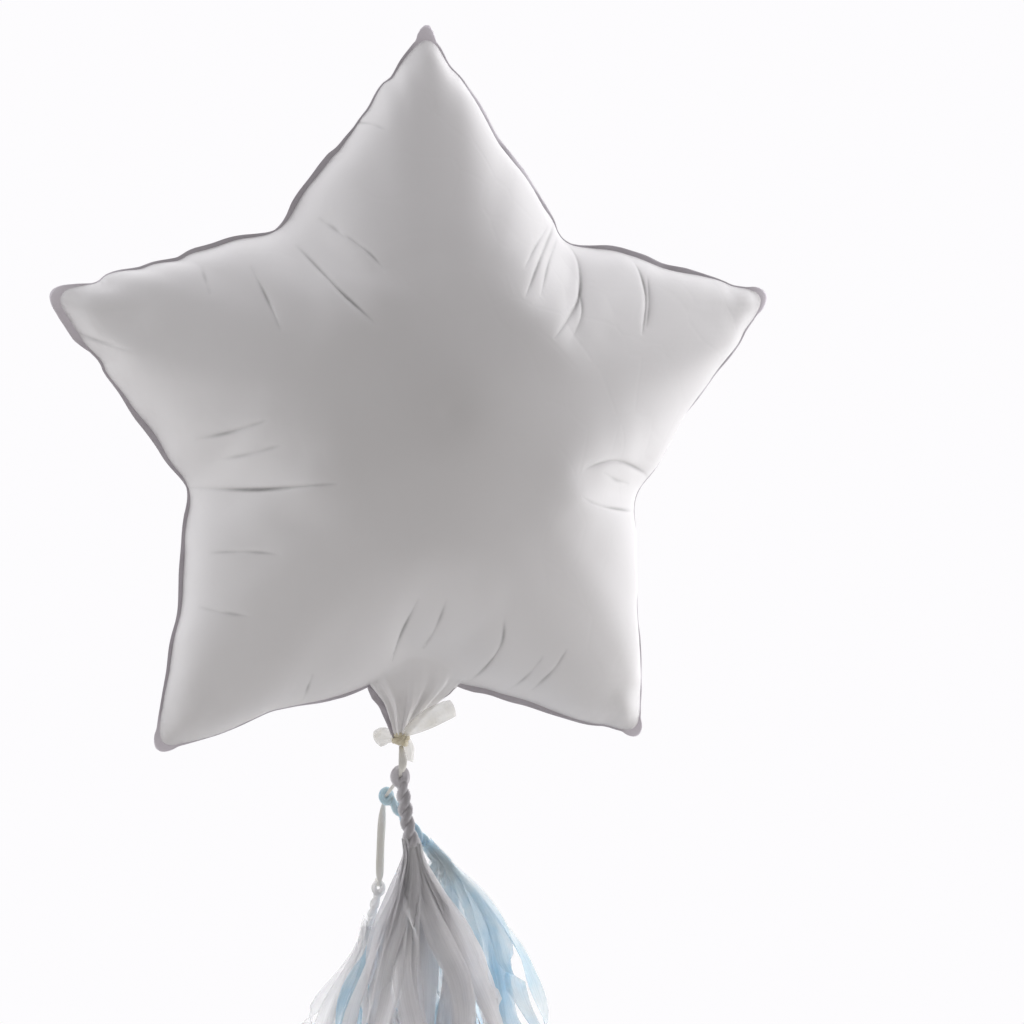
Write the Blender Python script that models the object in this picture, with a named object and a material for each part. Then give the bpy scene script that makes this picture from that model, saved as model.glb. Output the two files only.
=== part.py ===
"""Star foil balloon: an envelope of two welded foil halves, tied off at its inflation tail
with a ribbon that carries three tissue tassels. Metres, +Z up, and the front faces -Y.
The origin is the middle of the star, where the lift of the filling acts."""

import math

import bmesh
import bpy
from mathutils import Matrix, Vector

# Envelope. Angles run from straight up towards +X, in degrees
ARMS = (
    # angle of the tip, its radius, the radius of the valley after it, and how deep the foil
    # folds in there
    (2.0, 0.249, 0.152, 0.012),
    (71.0, 0.255, 0.155, 0.014),
    (143.0, 0.255, 0.157, 0.0),
    (217.5, 0.254, 0.143, 0.016),
    (288.5, 0.237, 0.142, 0.015),
)
TIP_ROUNDING = 0.012
VALLEY_ROUNDING = 0.016
SOFTEST_ROUNDING = 0.072
ARC_STEPS = 4
FLANK_STEPS = 4
HALF_DEPTH = 0.104
CROWN = Vector((0.006, -0.007))
CROWN_ROUNDING = 0.059
CONE_REACH = 0.237
EDGE_POWER = 6
FOLD_SPREAD = 14.0
FOLD_POWER = 8
WALL = 0.010
OUTER_RINGS = (0.99, 0.96, 0.92, 0.86, 0.78, 0.68, 0.56, 0.43, 0.29, 0.14)
INNER_RINGS = (0.95, 0.84, 0.68, 0.48, 0.24)
GAP = 0.0003

# Welded seam round the envelope
SEAL_OUTSIDE = 0.006
SEAL_INSIDE = 0.004
SEAL_HALF_THICKNESS = 0.0006

# Inflation tail, gathered into the knot
NECK_SIDES = 20
NECK_REACH = 0.08
NECK_ROWS = (
    # share of the way down, half width, half thickness
    (0.0, 0.030, 0.0030),
    (0.25, 0.019, 0.0065),
    (0.50, 0.0125, 0.0070),
    (0.75, 0.0080, 0.0060),
    (1.0, 0.0050, 0.0045),
)
KNOT = Vector((-0.006, 0.0, -0.2050))
KNOT_RADII = (0.0055, 0.0050, 0.0042)
KNOT_GRID = (14, 8)

# Ribbon and the strips of film at the knot
FILM_THICKNESS = 0.0008
BAND_STEPS = 2
SIDEWAYS = Vector((1.0, 0.0, 0.0))
THROUGH = Vector((0.0, 1.0, 0.0))
TAB_ACROSS = Vector((-0.35, 0.0, 1.0))
RIBBON_WIDTH = 0.005
RIBBON_NARROW = 0.003
RIBBON_THICKNESS = 0.0005

# Tassels: eye, two-strand rope and skirt of tissue strips
EYE_RADIUS = 0.0051
EYE_WIRE = 0.0027
EYE_GRID = (18, 8)
ROPE_RADIUS = 0.0045
ROPE_WAIST = 0.17
ROPE_SIDES = 12
ROPE_PITCH = 0.030
ROPE_STEP = 0.0025
CORE_HALVES = (0.0075, 0.0045)
CORE_FALLS = (0.0, 0.008, 0.010, 0.018)
SKIRT_TIERS = (
    # for each band of the core: share of the spread, shift round it, most twist
    (1.0, 0.0, 0.35),
    None,
    (0.52, 0.5, 0.2),
)
TURN_SAMPLES = 720
STRIPS = 14
STRIP_WIDTH = 0.013
STRIP_FILL = 0.72
STRIP_THICKNESS = 0.0012
STRIP_STEPS = 8
STRIP_CROWDING = 1.5
STRIP_RAGGED = 0.10
SWING_STRIDE = 2.4
RAGGED_STRIDE = 1.7
FIRST_FALL = 0.004
SPREAD_LENGTH = 0.065
TASSELS = (
    # name, eye, end of rope, foot of skirt, half spread in x and y, colour
    ("grey", (-0.0086, -0.0080, -0.2282), (0.0, -0.0090, -0.2770), (0.006, -0.034, -0.585),
     (0.058, 0.026), (0.55, 0.53, 0.56, 1.0)),
    ("blue", (-0.0145, 0.0055, -0.2421), (0.0239, 0.0100, -0.2868), (0.036, 0.022, -0.575),
     (0.074, 0.016), (0.36, 0.62, 0.82, 1.0)),
    ("white", (-0.0171, 0.0170, -0.3030), (-0.020, 0.0340, -0.3370), (-0.048, 0.064, -0.615),
     (0.045, 0.013), (0.90, 0.89, 0.86, 1.0)),
)
RIBBON_ROUTE = (
    # x, y, z and width
    (-0.0060, 0.0000, -0.2096, RIBBON_NARROW),
    (-0.0068, -0.0080, -0.2155, RIBBON_WIDTH),
    (-0.0078, -0.0118, -0.2215, RIBBON_WIDTH),
    (-0.0086, -0.0095, -0.2268, RIBBON_NARROW),
    (-0.0092, -0.0060, -0.2300, RIBBON_NARROW),
    (-0.0110, -0.0008, -0.2345, RIBBON_NARROW),
    (-0.0138, 0.0022, -0.2395, RIBBON_NARROW),
    (-0.0146, 0.0055, -0.2425, RIBBON_NARROW),
    (-0.0152, 0.0096, -0.2475, RIBBON_NARROW),
    (-0.0160, 0.0112, -0.2580, RIBBON_WIDTH),
    (-0.0168, 0.0120, -0.2750, RIBBON_WIDTH),
    (-0.0172, 0.0124, -0.2920, RIBBON_WIDTH),
    (-0.0171, 0.0133, -0.2978, RIBBON_NARROW),
    (-0.0171, 0.0146, -0.3005, RIBBON_NARROW),
    (-0.0171, 0.0170, -0.3016, RIBBON_NARROW),
    (-0.0171, 0.0194, -0.3005, RIBBON_NARROW),
    (-0.0171, 0.0207, -0.2975, RIBBON_NARROW),
)
TAB_ROUTE = (
    # the end of the tail, folded up to the right: x, y, z and width
    (-0.0045, -0.0054, -0.2008, 0.005),
    (0.0045, -0.0092, -0.1968, 0.007),
    (0.0150, -0.0120, -0.1915, 0.010),
    (0.0260, -0.0130, -0.1870, 0.011),
)
LEFT_END_ROUTE = (
    (-0.0118, 0.0010, -0.2030, 0.004),
    (-0.0150, 0.0005, -0.1985, 0.007),
    (-0.0200, -0.0005, -0.1975, 0.009),
    (-0.0225, -0.0015, -0.2020, 0.009),
    (-0.0190, -0.0020, -0.2075, 0.008),
    (-0.0150, -0.0020, -0.2090, 0.007),
)
RIGHT_END_ROUTE = (
    (-0.0002, 0.0010, -0.2060, 0.004),
    (0.0035, 0.0005, -0.2068, 0.006),
    (0.0058, -0.0002, -0.2105, 0.007),
    (0.0052, -0.0010, -0.2155, 0.007),
)

FOIL_WHITE = (0.80, 0.79, 0.81, 1.0)
SEAL_GREY = (0.62, 0.58, 0.62, 1.0)
FILM_CREAM = (0.86, 0.84, 0.76, 1.0)
KNOT_TAN = (0.72, 0.66, 0.48, 1.0)
FOIL_ROUGHNESS = 0.35
FILM_ROUGHNESS = 0.45
PAPER_ROUGHNESS = 0.80


def clear_scene():
    """Remove the objects that the start-up file holds."""
    for found in list(bpy.data.objects):
        bpy.data.objects.remove(found, do_unlink=True)


def new_collection(name):
    """Add a collection to the scene."""
    made = bpy.data.collections.new(name)
    bpy.context.scene.collection.children.link(made)
    return made


def material(name, colour, roughness):
    """A Principled material of one colour, with no metal in it."""
    made = bpy.data.materials.new(name)
    made.use_nodes = True
    shader = made.node_tree.nodes["Principled BSDF"]
    shader.inputs["Base Color"].default_value = colour
    shader.inputs["Roughness"].default_value = roughness
    shader.inputs["Metallic"].default_value = 0.0
    return made


def add_object(name, data, finish, collection, parent=None):
    """Link a new object and give it its material and parent. Its data is in world places."""
    made = bpy.data.objects.new(name, data)
    data.materials.append(finish)
    collection.objects.link(made)
    if parent is not None:
        made.parent = parent
        made.matrix_parent_inverse = Matrix.Translation(-pivot_place(parent))
    return made


def loft(name, rings, finish, collection, parent=None):
    """One closed body through rings of equal count. An end ring of one point is a pole,
    and any other end is capped."""
    shape = bmesh.new()
    made = [[shape.verts.new(point) for point in ring] for ring in rings]
    for above, below in zip(made, made[1:]):
        for i in range(max(len(above), len(below))):
            corners = [ring[k % len(ring)] for ring, k in (
                (above, i), (above, i + 1), (below, i + 1), (below, i))]
            shape.faces.new(tuple(dict.fromkeys(corners)))
    for end in (made[0], made[-1]):
        if len(end) > 1:
            shape.faces.new(end)
    bmesh.ops.recalc_face_normals(shape, faces=shape.faces)
    mesh = bpy.data.meshes.new(name)
    shape.to_mesh(mesh)
    shape.free()
    return add_object(name, mesh, finish, collection, parent)


def fuse(base, others, cutters):
    """Union other closed objects into base, through a Boolean on their collection."""
    group = bpy.data.collections.new(base.name + "_pieces")
    cutters.children.link(group)
    for other in others:
        for holder in list(other.users_collection):
            holder.objects.unlink(other)
        group.objects.link(other)
        other.hide_render = True
        other.display_type = "WIRE"
    union = base.modifiers.new("fuse", "BOOLEAN")
    union.operation = "UNION"
    union.solver = "EXACT"
    union.operand_type = "COLLECTION"
    union.collection = group


def polar(angle, radius):
    """A point of the star's plane, as x and z."""
    turn = math.radians(angle)
    return Vector((radius * math.sin(turn), radius * math.cos(turn)))


def valley_angle(i):
    """The angle of the valley after this arm, midway to the next arm's tip."""
    angle, following = ARMS[i][0], ARMS[(i + 1) % len(ARMS)][0]
    return (angle + following + (360.0 if following < angle else 0.0)) / 2


def star_corners():
    """The ten corners of the star in turn, each with its rounding."""
    corners = []
    for i, (angle, radius, valley, _) in enumerate(ARMS):
        corners.append((polar(angle, radius), TIP_ROUNDING))
        corners.append((polar(valley_angle(i), valley), VALLEY_ROUNDING))
    return corners


def moved_corners(corners, outwards):
    """The corners of the outline whose sides lie this far outside the star's."""
    moved = []
    for i, (corner, rounding) in enumerate(corners):
        before = corners[i - 1][0]
        after = corners[(i + 1) % len(corners)][0]
        along = (corner - before).normalized(), (after - corner).normalized()
        normals = [Vector((-side.y, side.x)) for side in along]
        middle = (normals[0] + normals[1]).normalized()
        moved.append((corner + middle * outwards / middle.dot(normals[0]), rounding))
    return moved


def outline(outwards=0.0, softness=0.0):
    """The star's rounded outline as x and z points, moved outwards by this much.
    A softness of 1 rounds its corners until their arcs nearly meet."""
    corners = moved_corners(star_corners(), outwards)
    arcs = []
    for i, (corner, rounding) in enumerate(corners):
        rounding += (SOFTEST_ROUNDING - rounding) * softness
        before = corners[i - 1][0]
        after = corners[(i + 1) % len(corners)][0]
        start = corner + (before - corner).normalized() * rounding
        end = corner + (after - corner).normalized() * rounding
        arc = []
        for step in range(ARC_STEPS + 1):
            t = step / ARC_STEPS
            arc.append(start * (1 - t) ** 2 + corner * 2 * t * (1 - t) + end * t**2)
        arcs.append(arc)
    points = []
    for i, arc in enumerate(arcs):
        points += arc
        ahead = arcs[(i + 1) % len(arcs)][0]
        points += [arc[-1].lerp(ahead, step / FLANK_STEPS) for step in range(1, FLANK_STEPS)]
    return points


def lift(place, share, half_depth):
    """How far the inflated foil stands off the seam plane: a blunt cone, steep at its edge
    and folded in at its valleys."""
    fall = math.hypot((place - CROWN).length, CROWN_ROUNDING) - CROWN_ROUNDING
    blunt = half_depth * (1 - fall / CONE_REACH) * math.sqrt(1 - share**EDGE_POWER)
    return blunt - valley_folds(place) * fold_at(share)


def valley_folds(place):
    """How deep the foil folds in at this angle of the star, at its deepest."""
    angle = math.degrees(math.atan2(place.x, place.y))
    depth = 0.0
    for i, (_, _, _, fold) in enumerate(ARMS):
        gap = (angle - valley_angle(i) + 180) % 360 - 180
        depth += fold * math.exp(-((gap / FOLD_SPREAD) ** 2))
    return depth


def fold_at(share):
    """How much of a fold shows at this share of the way to the seam, 1 where it is deepest."""
    deepest = math.sqrt(FOLD_POWER / (FOLD_POWER + 2))
    return (share / deepest) ** FOLD_POWER * (1 - share**2) / (1 - deepest**2)


def dome(outwards, shares, half_depth, side, base):
    """Rings from near the edge to near the middle, on one side of the seam plane. They are
    star-shaped at the edge and soften to nearly round at the crown."""
    rings = []
    for share in shares:
        ring = []
        for edge in outline(outwards, math.sqrt(1 - share)):
            place = edge * share
            away = side * (base + lift(place, share, half_depth))
            ring.append(Vector((place.x, away, place.y)))
        rings.append(ring)
    return rings


def panel(name, side, finish, collection):
    """One foil half: a dish, open towards the seam, where its flat rim meets the weld."""
    base = SEAL_HALF_THICKNESS + GAP
    rings = [[THROUGH * side * (base + HALF_DEPTH)]]
    rings += dome(0.0, OUTER_RINGS, HALF_DEPTH, side, base)[::-1]
    rings.append([Vector((edge.x, side * base, edge.y)) for edge in outline()])
    rings.append([Vector((edge.x, side * base, edge.y)) for edge in outline(-WALL)])
    rings += dome(-WALL, INNER_RINGS, HALF_DEPTH - WALL, side, base)
    rings.append([THROUGH * side * (base + HALF_DEPTH - WALL)])
    return loft(name, rings, finish, collection)


def rim_seal(finish, collection):
    """The flat weld between the halves, which stands out round the whole star."""
    flat = bpy.data.curves.new("rim_seal", "CURVE")
    flat.dimensions = "2D"
    flat.fill_mode = "BOTH"
    flat.extrude = SEAL_HALF_THICKNESS
    for outwards in (SEAL_OUTSIDE, -SEAL_INSIDE):
        points = outline(outwards)
        spline = flat.splines.new("POLY")
        spline.points.add(len(points) - 1)
        for held, point in zip(spline.points, points):
            held.co = (point.x, point.y, 0.0, 1.0)
        spline.use_cyclic_u = True
    made = add_object("rim_seal", flat, finish, collection)
    made.rotation_euler = (math.radians(90), 0.0, 0.0)
    return made


def neck_tail(finish, collection):
    """The tail that the filling goes in by, a flat funnel from the seam down to the knot."""
    seam = [p for p in outline(SEAL_OUTSIDE + GAP) if p.y < 0 and abs(p.x) < NECK_REACH]
    seam.sort(key=lambda point: point.x)
    foot = KNOT.z + KNOT_RADII[2] + GAP
    rings = []
    for share, half_width, half_thickness in NECK_ROWS:
        ring = []
        for step in range(NECK_SIDES):
            turn = 2 * math.pi * step / NECK_SIDES
            x = half_width * math.cos(turn)
            y = half_thickness * math.sin(turn)
            top = seam_height(seam, x)
            middle = KNOT.x * share
            ring.append(Vector((x + middle, y, top + (foot - top) * share)))
        rings.append(ring)
    return loft("neck_tail", rings, finish, collection)


def seam_height(seam, x):
    """The height of the seam's lower edge at this x."""
    for left, right in zip(seam, seam[1:]):
        if left.x <= x <= right.x:
            return left.lerp(right, (x - left.x) / (right.x - left.x)).y
    return seam[0].y


def ribbon_knot(finish, collection):
    """The knot that closes the tail."""
    shape = bmesh.new()
    bmesh.ops.create_uvsphere(
        shape, u_segments=KNOT_GRID[0], v_segments=KNOT_GRID[1], radius=1.0
    )
    bmesh.ops.scale(shape, vec=KNOT_RADII, verts=shape.verts)
    bmesh.ops.translate(shape, vec=KNOT, verts=shape.verts)
    mesh = bpy.data.meshes.new("ribbon_knot")
    shape.to_mesh(mesh)
    shape.free()
    return add_object("ribbon_knot", mesh, finish, collection)


def band(name, route, across, thickness, finish, collection, parent=None):
    """A flat band through (x, y, z, width) points, its width along this direction."""
    points = smooth_route(route, BAND_STEPS)
    rings = []
    for i, (point, width) in enumerate(points):
        before = points[max(i - 1, 0)][0]
        after = points[min(i + 1, len(points) - 1)][0]
        along = (after - before).normalized()
        side = (across - along * across.dot(along)).normalized()
        face = along.cross(side)
        rings.append([
            point + side * width / 2 + face * thickness / 2,
            point - side * width / 2 + face * thickness / 2,
            point - side * width / 2 - face * thickness / 2,
            point + side * width / 2 - face * thickness / 2,
        ])
    return loft(name, rings, finish, collection, parent)


def smooth_route(route, steps):
    """Points and widths on a smooth curve through the route's own points."""
    held = [(Vector(row[:3]), row[3]) for row in route]
    made = []
    for i in range(len(held) - 1):
        p0, p1, p2, p3 = (held[min(max(i + k, 0), len(held) - 1)] for k in (-1, 0, 1, 2))
        for step in range(steps):
            t = step / steps
            made.append((
                curved(p0[0], p1[0], p2[0], p3[0], t),
                p1[1] + (p2[1] - p1[1]) * t,
            ))
    made.append(held[-1])
    return made


def curved(p0, p1, p2, p3, t):
    """A Catmull-Rom curve between p1 and p2."""
    return 0.5 * (
        2 * p1
        + (p2 - p0) * t
        + (2 * p0 - 5 * p1 + 4 * p2 - p3) * t**2
        + (3 * p1 - p0 - 3 * p2 + p3) * t**3
    )


def tassel_rope(name, eye, end, finish, collection, cutters, parent):
    """The twisted top of a tassel: a rope of two strands, and the eye that it hangs by."""
    along = (end - eye).normalized()
    side = THROUGH.cross(along).normalized()
    depth = along.cross(side)
    start = eye + along * EYE_RADIUS
    length = (end - start).length
    count = int(length / ROPE_STEP)
    level = (
        SIDEWAYS * math.copysign(1.0, side.x),
        THROUGH * math.copysign(1.0, depth.y),
    )
    rings = []
    for step in range(count + 1):
        run = length * step / count
        lay = 2 * math.pi * run / ROPE_PITCH
        settled = min(run / length, 1.0) ** 2
        across, through = side.lerp(level[0], settled), depth.lerp(level[1], settled)
        ring = []
        for i in range(ROPE_SIDES):
            turn = 2 * math.pi * i / ROPE_SIDES
            radius = ROPE_RADIUS * (1 - ROPE_WAIST + ROPE_WAIST * math.cos(2 * (turn - lay)))
            spoke = across * math.cos(turn) + through * math.sin(turn)
            ring.append(start + along * run + spoke * radius)
        rings.append(ring)
    strands = loft(name + "_strands", rings, finish, collection)
    loop = torus(name, eye, finish, collection, parent)
    fuse(loop, [strands], cutters)
    return loop


def torus(name, centre, finish, collection, parent):
    """The eye of a tassel, a ring that faces the front."""
    bpy.ops.mesh.primitive_torus_add(
        major_segments=EYE_GRID[0],
        minor_segments=EYE_GRID[1],
        major_radius=EYE_RADIUS,
        minor_radius=EYE_WIRE,
    )
    made = bpy.context.object
    mesh = made.data
    bpy.data.objects.remove(made, do_unlink=True)
    mesh.transform(Matrix.Translation(centre) @ Matrix.Rotation(math.radians(90), 4, "X"))
    mesh.name = name
    return add_object(name, mesh, finish, collection, parent)


def even_turns(count, spread):
    """Angles that step evenly along the edge of an ellipse with these half widths."""
    turns = [2 * math.pi * i / TURN_SAMPLES for i in range(TURN_SAMPLES + 1)]
    runs = [0.0]
    for turn in turns[:-1]:
        middle = turn + math.pi / TURN_SAMPLES
        step = math.hypot(spread[0] * math.sin(middle), spread[1] * math.cos(middle))
        runs.append(runs[-1] + step)
    found = []
    at = 0
    for i in range(count):
        while runs[at] < runs[-1] * i / count:
            at += 1
        found.append(turns[at])
    return found


def skirt_level(gather, foot, spread, fall):
    """The middle and the half widths of the skirt, this far below the gather."""
    opened = 1 - math.exp(-fall / SPREAD_LENGTH)
    middle = gather.lerp(foot, fall / (gather.z - foot.z))
    middle.y = gather.y + (foot.y - gather.y) * opened
    return middle, [core + (half - core) * opened for core, half in zip(CORE_HALVES, spread)]


def strip_section(gather, foot, spread, turn, twist, fall):
    """The four corners of a tissue strip, this far below the gather."""
    middle, halves = skirt_level(gather, foot, spread, fall)
    centre = middle + Vector((halves[0] * math.cos(turn), halves[1] * math.sin(turn), 0.0))
    side = Vector((-halves[0] * math.sin(turn), halves[1] * math.cos(turn), 0.0)).normalized()
    side.rotate(Matrix.Rotation(twist, 3, "Z"))
    face = Vector((side.y, -side.x, 0.0))
    width = min(STRIP_WIDTH, STRIP_FILL * ellipse_length(halves) / STRIPS)
    across, through = side * width / 2, face * STRIP_THICKNESS / 2
    return (
        centre - across + through,
        centre + across + through,
        centre + across - through,
        centre - across - through,
    )


def tassel_skirt(name, gather, foot, spread, finish, collection, parent):
    """The skirt: tiers of tissue strips, each drawn out of one face of the gathered core."""
    shape = bmesh.new()
    length = gather.z - foot.z
    turns = even_turns(STRIPS, spread)
    rings = []
    for fall in CORE_FALLS:
        rings.append([
            shape.verts.new(gather + Vector((
                CORE_HALVES[0] * math.cos(turn), CORE_HALVES[1] * math.sin(turn), -fall)))
            for turn in turns
        ])
    shape.faces.new(rings[0])
    shape.faces.new(rings[-1][::-1])
    strips = []
    for above, below, tier in zip(rings, rings[1:], SKIRT_TIERS):
        for i in range(STRIPS):
            j = (i + 1) % STRIPS
            face = shape.faces.new((above[i], above[j], below[j], below[i]))
            if tier is None:
                continue
            share, shift, twist = tier
            reach = [half * share for half in spread]
            step = (turns[j] - turns[i]) % (2 * math.pi)
            turn = turns[i] + step * (0.5 + shift)
            swing = twist * math.sin(SWING_STRIDE * i + shift)
            ragged = (1 + math.sin(RAGGED_STRIDE * i + shift)) / 2
            rise = STRIP_RAGGED * length * ragged
            strips.append((face, reach, turn, swing, length - rise))
    for face, reach, turn, swing, strip_length in strips:
        before = [corner.co.copy() for corner in face.verts]
        for step in range(1, STRIP_STEPS + 1):
            share = (step / STRIP_STEPS) ** STRIP_CROWDING
            fall = FIRST_FALL + (strip_length - FIRST_FALL) * share
            section = strip_section(gather, foot, reach, turn, swing * share, fall)
            face = bmesh.ops.extrude_discrete_faces(shape, faces=[face])["faces"][0]
            for corner in face.verts:
                runs = [(corner.co - place).length for place in before]
                corner.co = section[runs.index(min(runs))]
            before = section
    bmesh.ops.recalc_face_normals(shape, faces=shape.faces)
    mesh = bpy.data.meshes.new(name)
    shape.to_mesh(mesh)
    shape.free()
    return add_object(name, mesh, finish, collection, parent)


def ellipse_length(halves):
    """The length round an ellipse with these half widths."""
    wide, deep = halves
    return math.pi * (3 * (wide + deep) - math.sqrt((3 * wide + deep) * (wide + 3 * deep)))


def pivot(name, place, collection, parent=None):
    """An empty on a joint's axis, which carries what turns there."""
    made = bpy.data.objects.new(name, None)
    made.empty_display_size = 0.01
    made.location = place
    if parent is not None:
        made.parent = parent
        made.location = place - pivot_place(parent)
    collection.objects.link(made)
    return made


def pivot_place(pivot_empty):
    """Where a joint's empty stands in the world."""
    place = pivot_empty.location.copy()
    if pivot_empty.parent is not None:
        place += pivot_place(pivot_empty.parent)
    return place


def main():
    """Build the balloon."""
    clear_scene()
    parts = new_collection("star_foil_balloon")
    cutters = new_collection("pieces_to_fuse")
    foil = material("foil_white", FOIL_WHITE, FOIL_ROUGHNESS)
    seal = material("seal_grey", SEAL_GREY, FOIL_ROUGHNESS)
    film = material("film_cream", FILM_CREAM, FILM_ROUGHNESS)
    tan = material("knot_tan", KNOT_TAN, PAPER_ROUGHNESS)

    panel("front_panel", -1, foil, parts)
    panel("back_panel", 1, foil, parts)
    rim_seal(seal, parts)
    neck_tail(foil, parts)
    ribbon_knot(tan, parts)
    band("filling_tail_end", TAB_ROUTE, TAB_ACROSS, FILM_THICKNESS, film, parts)
    band("ribbon_end_left", LEFT_END_ROUTE, THROUGH, FILM_THICKNESS, film, parts)
    band("ribbon_end_right", RIGHT_END_ROUTE, THROUGH, FILM_THICKNESS, film, parts)

    swing = pivot("ribbon_swing_axis", Vector(RIBBON_ROUTE[0][:3]), parts)
    band("tassel_ribbon", RIBBON_ROUTE, SIDEWAYS, RIBBON_THICKNESS, film, parts, swing)
    for name, eye, rope_end, foot, spread, colour in TASSELS:
        tissue = material(f"tissue_{name}", colour, PAPER_ROUGHNESS)
        eye, rope_end, foot = Vector(eye), Vector(rope_end), Vector(foot)
        hung = pivot(f"{name}_tassel_axis", eye, parts, swing)
        tassel_rope(f"{name}_tassel_rope", eye, rope_end, tissue, parts, cutters, hung)
        gather = rope_end - Vector((0.0, 0.0, GAP))
        tassel_skirt(f"{name}_tassel_skirt", gather, foot, spread, tissue, parts, hung)


main()
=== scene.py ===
"""Star foil balloon with tissue tassels: the looks of every piece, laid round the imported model.

The foil envelope is cut flat, blown up by a cloth simulation and fitted to its welded seam. The
tail, the knot, the ribbon and the three tassels hang below it. Metres, +Z up, front towards -Y.
"""

import logging
import math
from collections.abc import Callable, Sequence
from dataclasses import dataclass
from enum import Enum
from typing import NamedTuple

import bmesh
import bpy
import numpy as np
from mathutils import Matrix, Vector
from mathutils.bvhtree import BVHTree
from mathutils.geometry import delaunay_2d_cdt


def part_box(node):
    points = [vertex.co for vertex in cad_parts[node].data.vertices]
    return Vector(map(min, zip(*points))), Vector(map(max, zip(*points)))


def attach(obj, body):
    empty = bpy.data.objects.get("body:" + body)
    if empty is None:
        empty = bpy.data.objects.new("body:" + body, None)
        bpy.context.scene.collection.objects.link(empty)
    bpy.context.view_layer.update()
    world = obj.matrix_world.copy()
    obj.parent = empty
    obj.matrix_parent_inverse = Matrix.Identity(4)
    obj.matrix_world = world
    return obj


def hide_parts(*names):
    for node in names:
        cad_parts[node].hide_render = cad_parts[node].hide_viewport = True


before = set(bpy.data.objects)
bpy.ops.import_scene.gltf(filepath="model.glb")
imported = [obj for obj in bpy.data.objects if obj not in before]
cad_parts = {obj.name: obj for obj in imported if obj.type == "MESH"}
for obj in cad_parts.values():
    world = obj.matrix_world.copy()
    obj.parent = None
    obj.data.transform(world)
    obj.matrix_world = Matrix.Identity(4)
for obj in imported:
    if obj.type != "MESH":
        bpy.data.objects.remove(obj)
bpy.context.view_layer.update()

LOG = logging.getLogger("star_balloon")

Colour = tuple[float, float, float, float]
Object = bpy.types.Object
Rows = np.ndarray

SIDEWAYS = Vector((1.0, 0.0, 0.0))
THROUGH = Vector((0.0, 1.0, 0.0))
FULL_TURN = 2 * math.pi
MM = 0.001
MERGE_DISTANCE = 1e-6
# the point attribute that holds painted shade, from 0 to 1
PAINTED_SHADE = "fold"


class Body(Enum):
    """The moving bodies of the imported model."""

    BALLOON = "balloon"
    RIBBON = "ribbon"
    GREY_TASSEL = "grey_tassel"
    BLUE_TASSEL = "blue_tassel"
    WHITE_TASSEL = "white_tassel"


class Slot(Enum):
    """The material slots that the record names."""

    FOIL = "foil"
    SEAL = "foil_seal"
    FILM = "clear_film"
    RIBBON = "ribbon"
    GREY_TISSUE = "grey_tissue"
    BLUE_TISSUE = "blue_tissue"
    WHITE_TISSUE = "white_tissue"


# Modelling helpers


def deselect_all() -> None:
    """Leave edit mode and select nothing."""
    active = bpy.context.view_layer.objects.active
    if active is not None and active.mode != "OBJECT":
        bpy.ops.object.mode_set(mode="OBJECT")
    bpy.ops.object.select_all(action="DESELECT")


def pick(obj: Object) -> None:
    """Select one object alone and make it the active one.

    Args:
        obj: The object.
    """
    deselect_all()
    obj.select_set(True)
    bpy.context.view_layer.objects.active = obj


def points_of(obj: Object) -> Rows:
    """Read the places of an object's points.

    Args:
        obj: The object.

    Returns:
        Its points, as (point, xyz).
    """
    found = np.empty(len(obj.data.vertices) * 3, np.float32)
    obj.data.vertices.foreach_get("co", found)
    return found.reshape(-1, 3).astype(float)


def move_points(obj: Object, points: Rows) -> None:
    """Move an object's points to these places."""
    obj.data.vertices.foreach_set("co", points.astype(np.float32).ravel())
    obj.data.update()


def grid_through(name: str, rows: Rows) -> Object:
    """Lay a grid primitive through rows of points.

    Args:
        name: The name of the new object.
        rows: Points as (row, column, xyz), in metres.

    Returns:
        The grid, with a UV map whose U runs along each row and V from row to row.
    """
    count, across = rows.shape[:2]
    deselect_all()
    bpy.ops.mesh.primitive_grid_add(x_subdivisions=across - 1, y_subdivisions=count - 1, size=1.0)
    made = bpy.context.object
    made.name = made.data.name = name
    move_points(made, rows)
    return made


def weld(obj: Object) -> None:
    """Merge the points that meet, and turn every face outwards.

    Args:
        obj: A mesh whose edges were laid onto each other.
    """
    pick(obj)
    bpy.ops.object.mode_set(mode="EDIT")
    bpy.ops.mesh.select_all(action="SELECT")
    bpy.ops.mesh.remove_doubles(threshold=MERGE_DISTANCE)
    bpy.ops.mesh.normals_make_consistent(inside=False)
    bpy.ops.object.mode_set(mode="OBJECT")


def rolled(name: str, rows: Rows) -> Object:
    """Roll a grid primitive up, so that the end of each row meets its start.

    Args:
        name: The name of the new object.
        rows: One ring of points for each row, as (row, point, xyz), without a repeated point.

    Returns:
        The rolled grid.
    """
    made = grid_through(name, np.concatenate([rows, rows[:, :1]], axis=1))
    weld(made)
    return made


def tube_through(name: str, rows: Rows) -> Object:
    """Make a tube with closed ends.

    Args:
        name: The name of the new object.
        rows: Its rings of points, as (ring, point, xyz).

    Returns:
        The tube, each end drawn in to a pole.
    """
    poles = [rows[end].mean(axis=0, keepdims=True).repeat(rows.shape[1], axis=0) for end in (0, -1)]
    return rolled(name, np.concatenate([poles[0][None], rows, poles[1][None]]))


def ring_through(name: str, rows: Rows) -> Object:
    """Make a tube that runs round into itself.

    Args:
        name: The name of the new object.
        rows: Its rings of points, as (ring, point, xyz).

    Returns:
        The closed ring.
    """
    return rolled(name, np.concatenate([rows, rows[:1]]))


def alter(obj: Object, kind: str, **settings: object) -> None:
    """Put a modifier on an object and apply it.

    Args:
        obj: The object.
        kind: The modifier's type.
        settings: Its settings by name.
    """
    pick(obj)
    modifier = obj.modifiers.new(kind.lower(), kind)
    for name, value in settings.items():
        setattr(modifier, name, value)
    bpy.ops.object.modifier_apply(modifier=modifier.name)


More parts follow.
